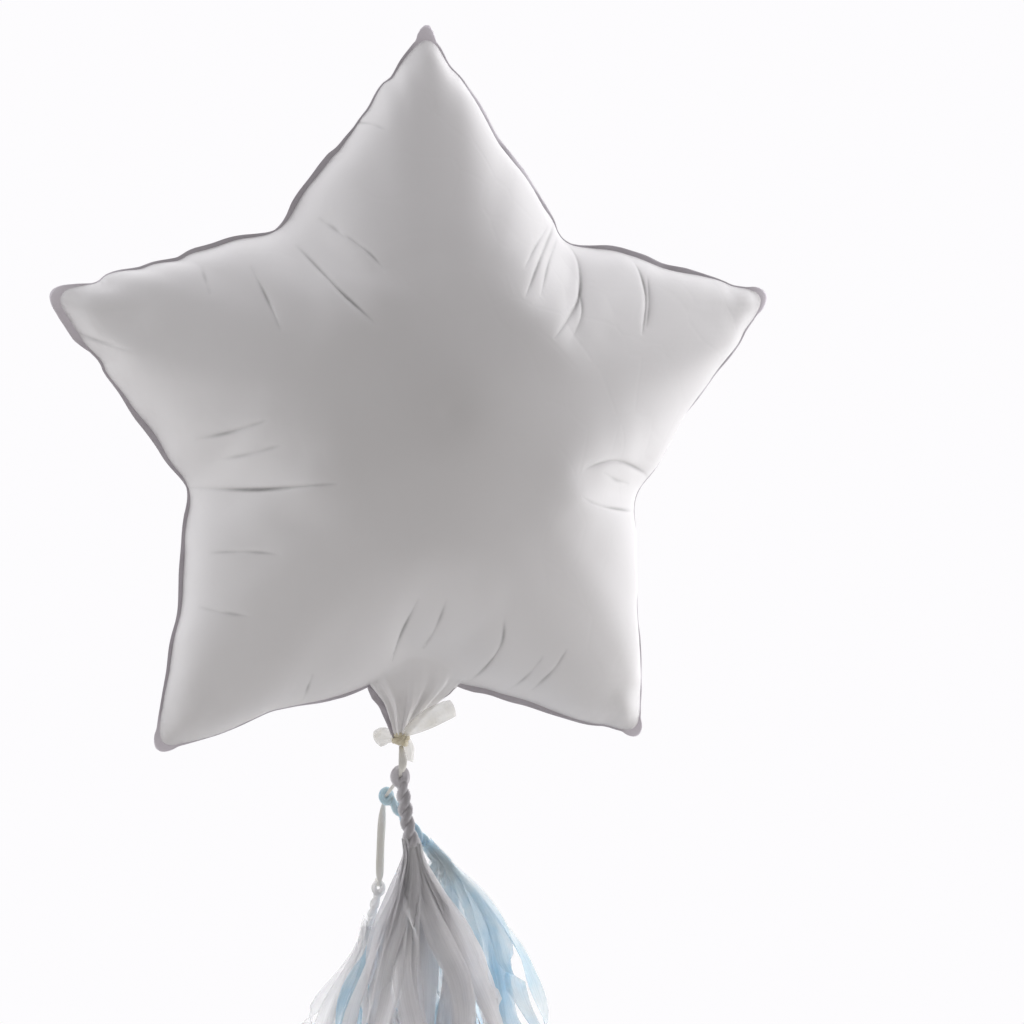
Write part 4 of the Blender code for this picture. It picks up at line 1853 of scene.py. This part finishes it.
@dataclass
class Tassel:
    """A tissue tassel: a twisted head with its eye, and a skirt of cut strips."""

    name: str
    eye: Vector
    gather: Vector
    foot: Vector
    spread: tuple[float, float]
    body: Body
    slot: Slot
    finish: TissueFinish
    twist_finish: TissueFinish
    seed: int
    # how many strips hang in each tier, and how far out, as a share of the skirt's spread
    tiers: tuple[tuple[int, float], ...]
    # the eye: its radius, half its thickness, how narrow and tall it is, and its points round it
    # and round its section
    eye_radius: float = 0.0038
    eye_wire: float = 0.0030
    eye_form: tuple[float, float] = (0.95, 1.12)
    eye_around: int = 64
    eye_sides: int = 28
    # the rope: its radius and how much that grows, the pitch of its strands, the step between
    # its rings, where in the eye it starts, how far past the gather it ends, and how much it
    # draws in there over what length
    rope_radius: float = 0.0047
    rope_swell: float = 0.25
    rope_pitch: float = 0.018
    rope_step: float = 0.0006
    rope_start: float = 0.8
    rope_past: float = 0.004
    rope_end: tuple[float, float] = (0.7, 0.010)
    # size and rate of the rope's uneven thickness and of its wander
    uneven: tuple[float, float] = (0.05, 210.0)
    wander: tuple[float, float] = (0.0004, 120.0)
    strand_waist: float = 0.42
    strand_power: float = 0.7
    fold_count: int = 13
    fold_depth: float = 0.20
    fold_lead: float = 1.15
    # size of the finest folds, their number and how often they go round with the strands
    fine_folds: tuple[float, int, int] = (0.02, 17, 5)
    sides: int = 44
    # the skirt: half its width and depth at the gather, how soon it opens, how far above the
    # gather its strips start, how much of its tier's share each takes, its rows and its wall
    core: tuple[float, float] = (0.0058, 0.0045)
    spread_length: float = 0.064
    spread_power: float = 1.5
    above: float = 0.011
    tier_share: tuple[float, float] = (0.86, 1.0)
    strip_rows: int = 44
    paper: float = 0.00012
    habits: StripHabits = StripHabits()

    def build(self) -> None:
        head = join(f"{self.name}_twisted_head", [self.eye_loop(), self.rope()])
        dress(head, self.twist_finish.build(), self.slot, self.body, f"{self.name}_tassel_rope")
        skirt, area = self.skirt()
        dress(skirt, self.finish.build(), self.slot, self.body, f"{self.name}_tassel_skirt")

    def drop(self) -> float:
        """How far the foot of the skirt is below the gather."""
        return self.gather.z - self.foot.z

    def twisted(self, turns: Rows, lay: float, radius: float) -> Rows:
        """Measure the twisted tissue round its middle line.

        Args:
            turns: The angles round the section.
            lay: How far the strands have turned here.
            radius: The radius over the strands.

        Returns:
            The radius at each angle.
        """
        strands = 1 - self.strand_waist * (1 - np.abs(np.cos(turns - lay)) ** self.strand_power)
        bent = self.fold_count / 2 * (turns - self.fold_lead * lay)
        size, number, lead = self.fine_folds
        fine = size * np.sin(number * turns + lead * lay + self.seed)
        return radius * (strands - self.fold_depth * np.abs(np.sin(bent)) + fine)

    def rope(self) -> Object:
        """Make the twisted rope from the eye down to the gather.

        Returns:
            The rope.
        """
        along = (self.gather - self.eye).normalized()
        side = THROUGH.cross(along).normalized()
        depth = along.cross(side)
        start = self.eye + along * self.eye_radius * self.rope_start
        length = (self.gather - start).length + self.rope_past
        turns = np.linspace(0.0, FULL_TURN, self.sides, endpoint=False)
        spokes = np.cos(turns)[:, None] * np.array(side) + np.sin(turns)[:, None] * np.array(depth)
        drawn, end = self.rope_end
        rings = []
        for run in np.arange(0.0, length, self.rope_step):
            thick = self.rope_radius * (1 + self.rope_swell * run / length)
            thick *= 1 + self.uneven[0] * math.sin(run * self.uneven[1] + self.seed)
            thick *= 1 - drawn * max(0.0, 1 - (length - run) / end) ** 2
            radius = self.twisted(turns, FULL_TURN * run / self.rope_pitch, thick)
            off = np.array(side) * self.wander[0] * math.sin(run * self.wander[1] + self.seed)
            rings.append(np.array(start + along * run) + off + spokes * radius[:, None])
        return tube_through("rope", np.array(rings))

    def eye_loop(self) -> Object:
        """Make the folded eye that the ribbon goes through.

        Returns:
            The eye, a ring of uneven, creased tissue.
        """
        turns = np.linspace(0.0, FULL_TURN, self.eye_sides, endpoint=False)
        narrow, tall = self.eye_form
        rings = []
        for angle in np.linspace(0.0, FULL_TURN, self.eye_around, endpoint=False):
            thick = self.eye_wire * (1.0 + 0.10 * math.cos(angle - 2.4) + 0.05 * math.sin(3 * angle))
            creased = 0.07 * np.sin(5 * turns - 2 * angle) - 0.05 * np.abs(np.sin(3 * turns))
            radius = thick * (1 + creased)
            out = self.eye_radius + radius * np.cos(turns)
            x, z = out * math.sin(angle) * narrow, out * math.cos(angle) * tall
            rings.append(np.stack([x, radius * np.sin(turns), z], axis=1))
        return ring_through("eye", np.array(rings) + np.array(self.eye))

    def level(self, fall: Rows) -> tuple[Rows, Rows]:
        """Give the skirt's shape below the gather.

        Args:
            fall: How far down each row is.

        Returns:
            The middle of the skirt there and its half widths in x and y.
        """
        below = np.maximum(fall, 0.0)
        opened = 1 - np.exp(-((below / self.spread_length) ** self.spread_power))
        share = below / self.drop()
        gather, foot = np.array(self.gather), np.array(self.foot)
        middle = gather + (foot - gather) * share[:, None]
        middle[:, 1] = gather[1] + (foot[1] - gather[1]) * opened
        up = np.array((self.eye - self.gather).normalized())
        middle += up * np.maximum(-fall, 0.0)[:, None]
        core, spread = np.array(self.core), np.array(self.spread)
        return middle, core + (spread - core) * opened[:, None]

    def skirt(self) -> tuple[Object, float]:
        """Make the skirt from one pattern strip, copied for each of the others.

        Returns:
            The skirt, and the flat area of its tissue.
        """
        random = np.random.default_rng(self.seed)
        pattern, copies, area = None, [], 0.0
        for count, share in self.tiers:
            start = random.uniform(0.0, FULL_TURN)
            for i in range(count):
                turn = start + FULL_TURN * (i + random.uniform(-0.3, 0.3)) / count
                rows, flat = self.strip(turn, share * random.uniform(*self.tier_share), random)
                area += flat
                if pattern is None:
                    pattern = grid_through("strip", rows)
                    copies.append(pattern)
                    continue
                copy = pattern.copy()
                copy.data = pattern.data.copy()
                bpy.context.scene.collection.objects.link(copy)
                move_points(copy, rows)
                copies.append(copy)
        made = join(f"{self.name}_tissue_skirt", copies)
        thicken(made, self.paper)
        return made, area

    def strip(self, turn: float, share: float, random: np.random.Generator) -> tuple[Rows, float]:
        """Hang one strip of tissue.

        Args:
            turn: Where round the skirt it hangs.
            share: How far out of the middle it hangs, from 0 to 1.
            random: The source of what differs from strip to strip.

        Returns:
            The rows of its points, and its flat area.
        """
        habits = self.habits
        length = self.drop() * random.uniform(*habits.length_share)
        start = -self.above * random.uniform(*habits.start_share)
        steps = np.linspace(0.0, 1.0, self.strip_rows) ** habits.row_power
        fall = start + (length - start) * steps
        middle, halves = self.level(fall)
        inner = np.array(self.core) * habits.core_share
        reach = inner + (halves - inner) * share
        opened = np.clip(fall / habits.open_length, 0.0, 1.0)
        wave = random.uniform(0.0, FULL_TURN, 3)
        drifted = np.clip(fall / length, 0, 1) ** habits.drift_power
        angle = turn + random.uniform(*habits.turn_drift) * drifted
        angle += habits.sway * opened * np.sin(fall * random.uniform(*habits.sway_rate) + wave[0])
        spoke = np.stack([np.cos(angle), np.sin(angle), 0 * angle], axis=1)
        centre = middle + np.concatenate([reach, np.zeros((len(fall), 1))], axis=1) * spoke
        billow = np.sin(fall * random.uniform(*habits.billow_rate) + wave[1])
        centre += spoke * (habits.billow * opened * billow)[:, None]
        along = unit(np.gradient(centre, axis=0))
        tangent = np.stack([-reach[:, 0] * np.sin(angle), reach[:, 1] * np.cos(angle), 0 * angle], axis=1)
        side = unit(tangent - along * (along * tangent).sum(axis=1, keepdims=True))
        face = np.cross(along, side)
        twist = random.uniform(*habits.twist) * opened
        twist *= np.sin(fall * random.uniform(*habits.twist_rate) + wave[2])
        if random.uniform() < habits.turned_over:
            at, stretch = random.uniform(*habits.over_from) * length, random.uniform(*habits.over_length)
            over = np.clip((fall - at) / stretch, 0.0, 1.0)
            twist += random.choice([-1, 1]) * np.pi * slow_start_and_stop(over)
        across = side * np.cos(twist)[:, None] + face * np.sin(twist)[:, None]
        facing = np.cross(along, across)
        full = random.uniform(*habits.width)
        widened = np.clip((fall - start) / habits.widen_length, 0, 1) ** habits.widen_power
        width = full * (habits.narrow_share + (1 - habits.narrow_share) * widened)
        drawn = np.abs(np.sin(fall * random.uniform(*habits.gather_rate) + wave[1]))
        width *= 1 - habits.gathered * drawn**habits.gather_power
        fold = random.uniform(*habits.fold) * random.choice([-1, 1]) * (1 - habits.fold_opens * opened)
        off_middle = random.uniform(*habits.fold_place)
        edge = random.uniform(0.0, FULL_TURN, 2)
        rows = []
        for column in (-1.0, (off_middle - 1) / 2, off_middle, (off_middle + 1) / 2, 1.0):
            shake = np.sin(fall * habits.flutter_rate + edge[int(column > 0)])
            from_fold = abs(column - off_middle) / (1 + abs(off_middle))
            sink = fold * width * (1 - from_fold) + habits.flutter * opened * abs(column) * shake
            rows.append(centre + across * (column * width / 2)[:, None] + facing * sink[:, None])
        return np.array(rows).transpose(1, 0, 2), float(full * length * habits.cut_area)


# Room for the portrait


@dataclass
class Studio:
    """The camera, the bright room behind the balloon and the pale floor far below it."""

    eye: tuple[float, float, float] = (-0.3366, -1.4119, -0.0592)
    azimuth: float = -16.0
    lens: float = 79.2
    sensor: float = 36.0
    floor_height: float = -1.15
    floor_radius: float = 3.2
    floor_finish: Finish = Finish(
        "pale_floor", (0.52, 0.51, 0.50, 1.0), (0.50, 0.49, 0.48, 1.0), 2.0, 1.0
    )
    floor_roughness: float = 0.7
    backdrop: Colour = (0.982, 0.973, 0.989, 1.0)
    room: tuple[tuple[float, Colour], ...] = (
        # how far round to the back, and the light from there
        (0.00, (0.246, 0.236, 0.222, 1.0)),
        (0.25, (0.296, 0.288, 0.294, 1.0)),
        (0.50, (0.780, 0.770, 0.810, 1.0)),
        (0.68, (1.280, 1.270, 1.300, 1.0)),
        (1.00, (1.360, 1.350, 1.380, 1.0)),
    )
    left_and_right: tuple[float, float] = (0.76, 1.50)
    lamps: tuple[tuple[tuple[float, float, float], float, float], ...] = (
        # place, power in watts and size: four beside the balloon, a small one below its tassels
        ((1.5, 0.15, 0.9), 7.0, 1.2),
        ((-1.6, -0.3, 0.9), 4.0, 1.2),
        ((1.5, 0.12, -0.8), 8.5, 1.2),
        ((-1.5, 0.06, -0.9), 5.0, 1.2),
        ((0.1, -0.6, -0.95), 0.4, 0.6),
    )

    def build(self) -> None:
        """Set up everything that isn't the balloon."""
        self.stand_camera()
        self.light_room()
        self.hang_lamps()
        self.lay_floor()
        bpy.context.scene.view_settings.view_transform = "Standard"
        LOG.info("studio: a camera, %d lamps, a bright room and a pale floor", len(self.lamps))

    def stand_camera(self) -> None:
        """Stand the camera where the portrait was taken from."""
        deselect_all()
        turned = (math.radians(90), 0.0, math.radians(self.azimuth))
        bpy.ops.object.camera_add(location=self.eye, rotation=turned)
        camera = bpy.context.object
        camera.data.lens = self.lens
        camera.data.sensor_width = self.sensor
        bpy.context.scene.camera = camera

    def light_room(self) -> None:
        """Light the room: dim in front of the balloon and bright behind it and to its right."""
        world = bpy.data.worlds.new("bright_room")
        bpy.context.scene.world = world
        world.use_nodes = True
        wiring = Wiring(world.node_tree)
        place = wiring.add("TexCoord").outputs["Generated"]
        axes = wiring.add("SeparateXYZ", Vector=place).outputs
        back = wiring.add("MapRange", Value=axes["Y"], From_Min=-1.0)
        ramp = wiring.add("ValToRGB", Fac=back.outputs["Result"])
        ramp.color_ramp.interpolation = "EASE"
        stops = ramp.color_ramp.elements
        while len(stops) < len(self.room):
            stops.new(0.5)
        for stop, (position, colour) in zip(stops, self.room):
            stop.position = position
            stop.color = colour
        left, right = self.left_and_right
        beside = wiring.add("MapRange", Value=axes["X"], From_Min=-1.0, To_Min=left, To_Max=right)
        lit = wiring.scaled(ramp.outputs["Color"], beside.outputs["Result"])
        seen = wiring.add("LightPath").outputs["Is Camera Ray"]
        background = world.node_tree.nodes["Background"]
        wiring.give(background.inputs["Color"], wiring.mixed(seen, lit, self.backdrop))

    def hang_lamps(self) -> None:
        """Hang the soft panels, all turned to the balloon."""
        for place, power, size in self.lamps:
            deselect_all()
            bpy.ops.object.light_add(type="AREA", location=place)
            lamp = bpy.context.object
            lamp.data.energy = power
            lamp.data.size = size
            lamp.rotation_euler = (-Vector(place)).to_track_quat("-Z", "Y").to_euler()

    def lay_floor(self) -> None:
        """Lay the pale floor."""
        deselect_all()
        bpy.ops.mesh.primitive_circle_add(
            vertices=96, radius=self.floor_radius, fill_type="NGON",
            location=(0.0, 0.0, self.floor_height),
        )
        floor = bpy.context.object
        floor.name = "pale_floor"
        shader = Shader(self.floor_finish.name, Roughness=self.floor_roughness)
        shader.feed("Base Color", self.floor_finish.drift(shader)["Colour"])
        floor.data.materials.append(shader.material)


FOIL = FoilFinish("satin_foil", (0.84, 0.83, 0.835, 1.0), (0.79, 0.78, 0.78, 1.0))
# the neck's foil: the envelope's foil painted lighter, shaded back to it at the top of the neck
NECK = FoilFinish(
    "gathered_foil", (0.98, 0.968, 0.974, 1.0), (0.922, 0.91, 0.91, 1.0), painted_shade_scale=0.857
)
# the weld's finish: its colour is darkened by painted shade where its piece marks it
SEAL = FoilFinish(
    "welded_foil", (0.88, 0.84, 0.89, 1.0), (0.82, 0.77, 0.84, 1.0), roughness=(0.40, 0.5),
    crease_scale=160.0, painted_shade_scale=0.68,
)
FILM = FilmFinish("tail_film", (0.98, 0.97, 0.94, 1.0), (0.92, 0.90, 0.82, 1.0))
RIBBON = RibbonFinish("curling_ribbon", (0.98, 0.97, 0.93, 1.0), (0.91, 0.89, 0.81, 1.0))
# the knot: a darker, browner copy of the ribbon's colours, painted shade among its tight turns
KNOT = RibbonFinish(
    "knotted_ribbon", (0.84, 0.78, 0.60, 1.0), (0.66, 0.58, 0.40, 1.0), rib_scale=3.0
)
GREY = TissueFinish(
    "grey_tissue", (0.97, 0.96, 0.975, 1.0), (0.82, 0.81, 0.84, 1.0), opacity=(0.36, 0.64)
)
BLUE = TissueFinish(
    "blue_tissue", (0.82, 0.93, 1.0, 1.0), (0.46, 0.74, 1.0, 1.0), opacity=(0.22, 0.52)
)
WHITE = TissueFinish(
    "white_tissue", (0.98, 0.975, 0.97, 1.0), (0.95, 0.94, 0.935, 1.0), opacity=(0.15, 0.32)
)
# the heads: darker copies of their skirts' colours, partly the deeper tone of tissue pressed in many
# layers and partly painted shade in the twist
GREY_TWIST = TissueFinish("twisted_grey_tissue", (0.80, 0.78, 0.81, 1.0), (0.50, 0.49, 0.51, 1.0))
BLUE_TWIST = TissueFinish("twisted_blue_tissue", (0.72, 0.88, 0.99, 1.0), (0.44, 0.68, 0.92, 1.0))
WHITE_TWIST = TissueFinish(
    "twisted_white_tissue", (0.97, 0.965, 0.96, 1.0), (0.92, 0.91, 0.905, 1.0), opacity=(0.45, 0.65)
)


def tassels() -> list[Tassel]:
    """Say where the three tassels hang and what sets each apart.

    Returns:
        The tassels, each at the end of its stretch of ribbon.
    """
    return [
        Tassel("grey", Vector((-0.0086, -0.0080, -0.2282)), Vector((0.0, -0.0090, -0.2770)),
               Vector((0.006, -0.034, -0.585)), (0.058, 0.026), Body.GREY_TASSEL,
               Slot.GREY_TISSUE, GREY, GREY_TWIST, 11, ((12, 1.0), (8, 0.72), (4, 0.42))),
        Tassel("blue", Vector((-0.0145, 0.0055, -0.2421)), Vector((0.0239, 0.0100, -0.2868)),
               Vector((0.036, 0.022, -0.575)), (0.074, 0.016), Body.BLUE_TASSEL,
               Slot.BLUE_TISSUE, BLUE, BLUE_TWIST, 23, ((10, 1.0), (7, 0.72), (4, 0.42)),
               eye_radius=0.0032, eye_wire=0.0022, rope_radius=0.0040, rope_swell=0.15,
               spread_length=0.047, spread_power=1.25, above=0.022),
        Tassel("white", Vector((-0.0171, 0.0170, -0.3030)), Vector((-0.020, 0.0340, -0.3370)),
               Vector((-0.048, 0.064, -0.615)), (0.045, 0.013), Body.WHITE_TASSEL,
               Slot.WHITE_TISSUE, WHITE, WHITE_TWIST, 37, ((7, 1.0), (4, 0.65)),
               eye_radius=0.0030, eye_wire=0.0019, rope_radius=0.0030, above=0.018),
    ]


def main() -> None:
    """Build the balloon, dress it and set the studio round it."""
    logging.basicConfig(level=logging.INFO, format="%(name)s %(message)s")
    dress(Ribbon().build(), RIBBON.build(), Slot.RIBBON, Body.RIBBON, "tassel_ribbon")

    envelope = Envelope(
        seam=StarOutline(tip_rounding=0.009, valley_rounding=0.007),
        cut=StarOutline(tip_rounding=0.016, valley_rounding=0.014, tip_scale=1.165, valley_scale=1.18),
    )
    shell, seam = envelope.build()
    dress(shell, FOIL.build(), Slot.FOIL, Body.BALLOON, "front_panel", "back_panel")
    tail = Tail()
    flange = join("seam_flange", [SeamFlange().build(seam), *tail.fins()])
    dress(flange, SEAL.build(), Slot.SEAL, Body.BALLOON, "rim_seal")

    dress(tail.neck(shell), NECK.build(), Slot.FOIL, Body.BALLOON, "neck_tail")
    film = FILM.build()
    for piece in FILM_STRIPS:
        dress(tail.strip(piece), film, Slot.FILM, Body.BALLOON, piece.node)
    knot_low, knot_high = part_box("ribbon_knot")
    knot = Knot((Vector(knot_low) + Vector(knot_high)) / 2)
    dress(knot.build(), KNOT.build(), Slot.RIBBON, Body.BALLOON, "ribbon_knot")

    for tassel in tassels():
        tassel.build()

    Studio().build()


if __name__ == "__main__":
    main()
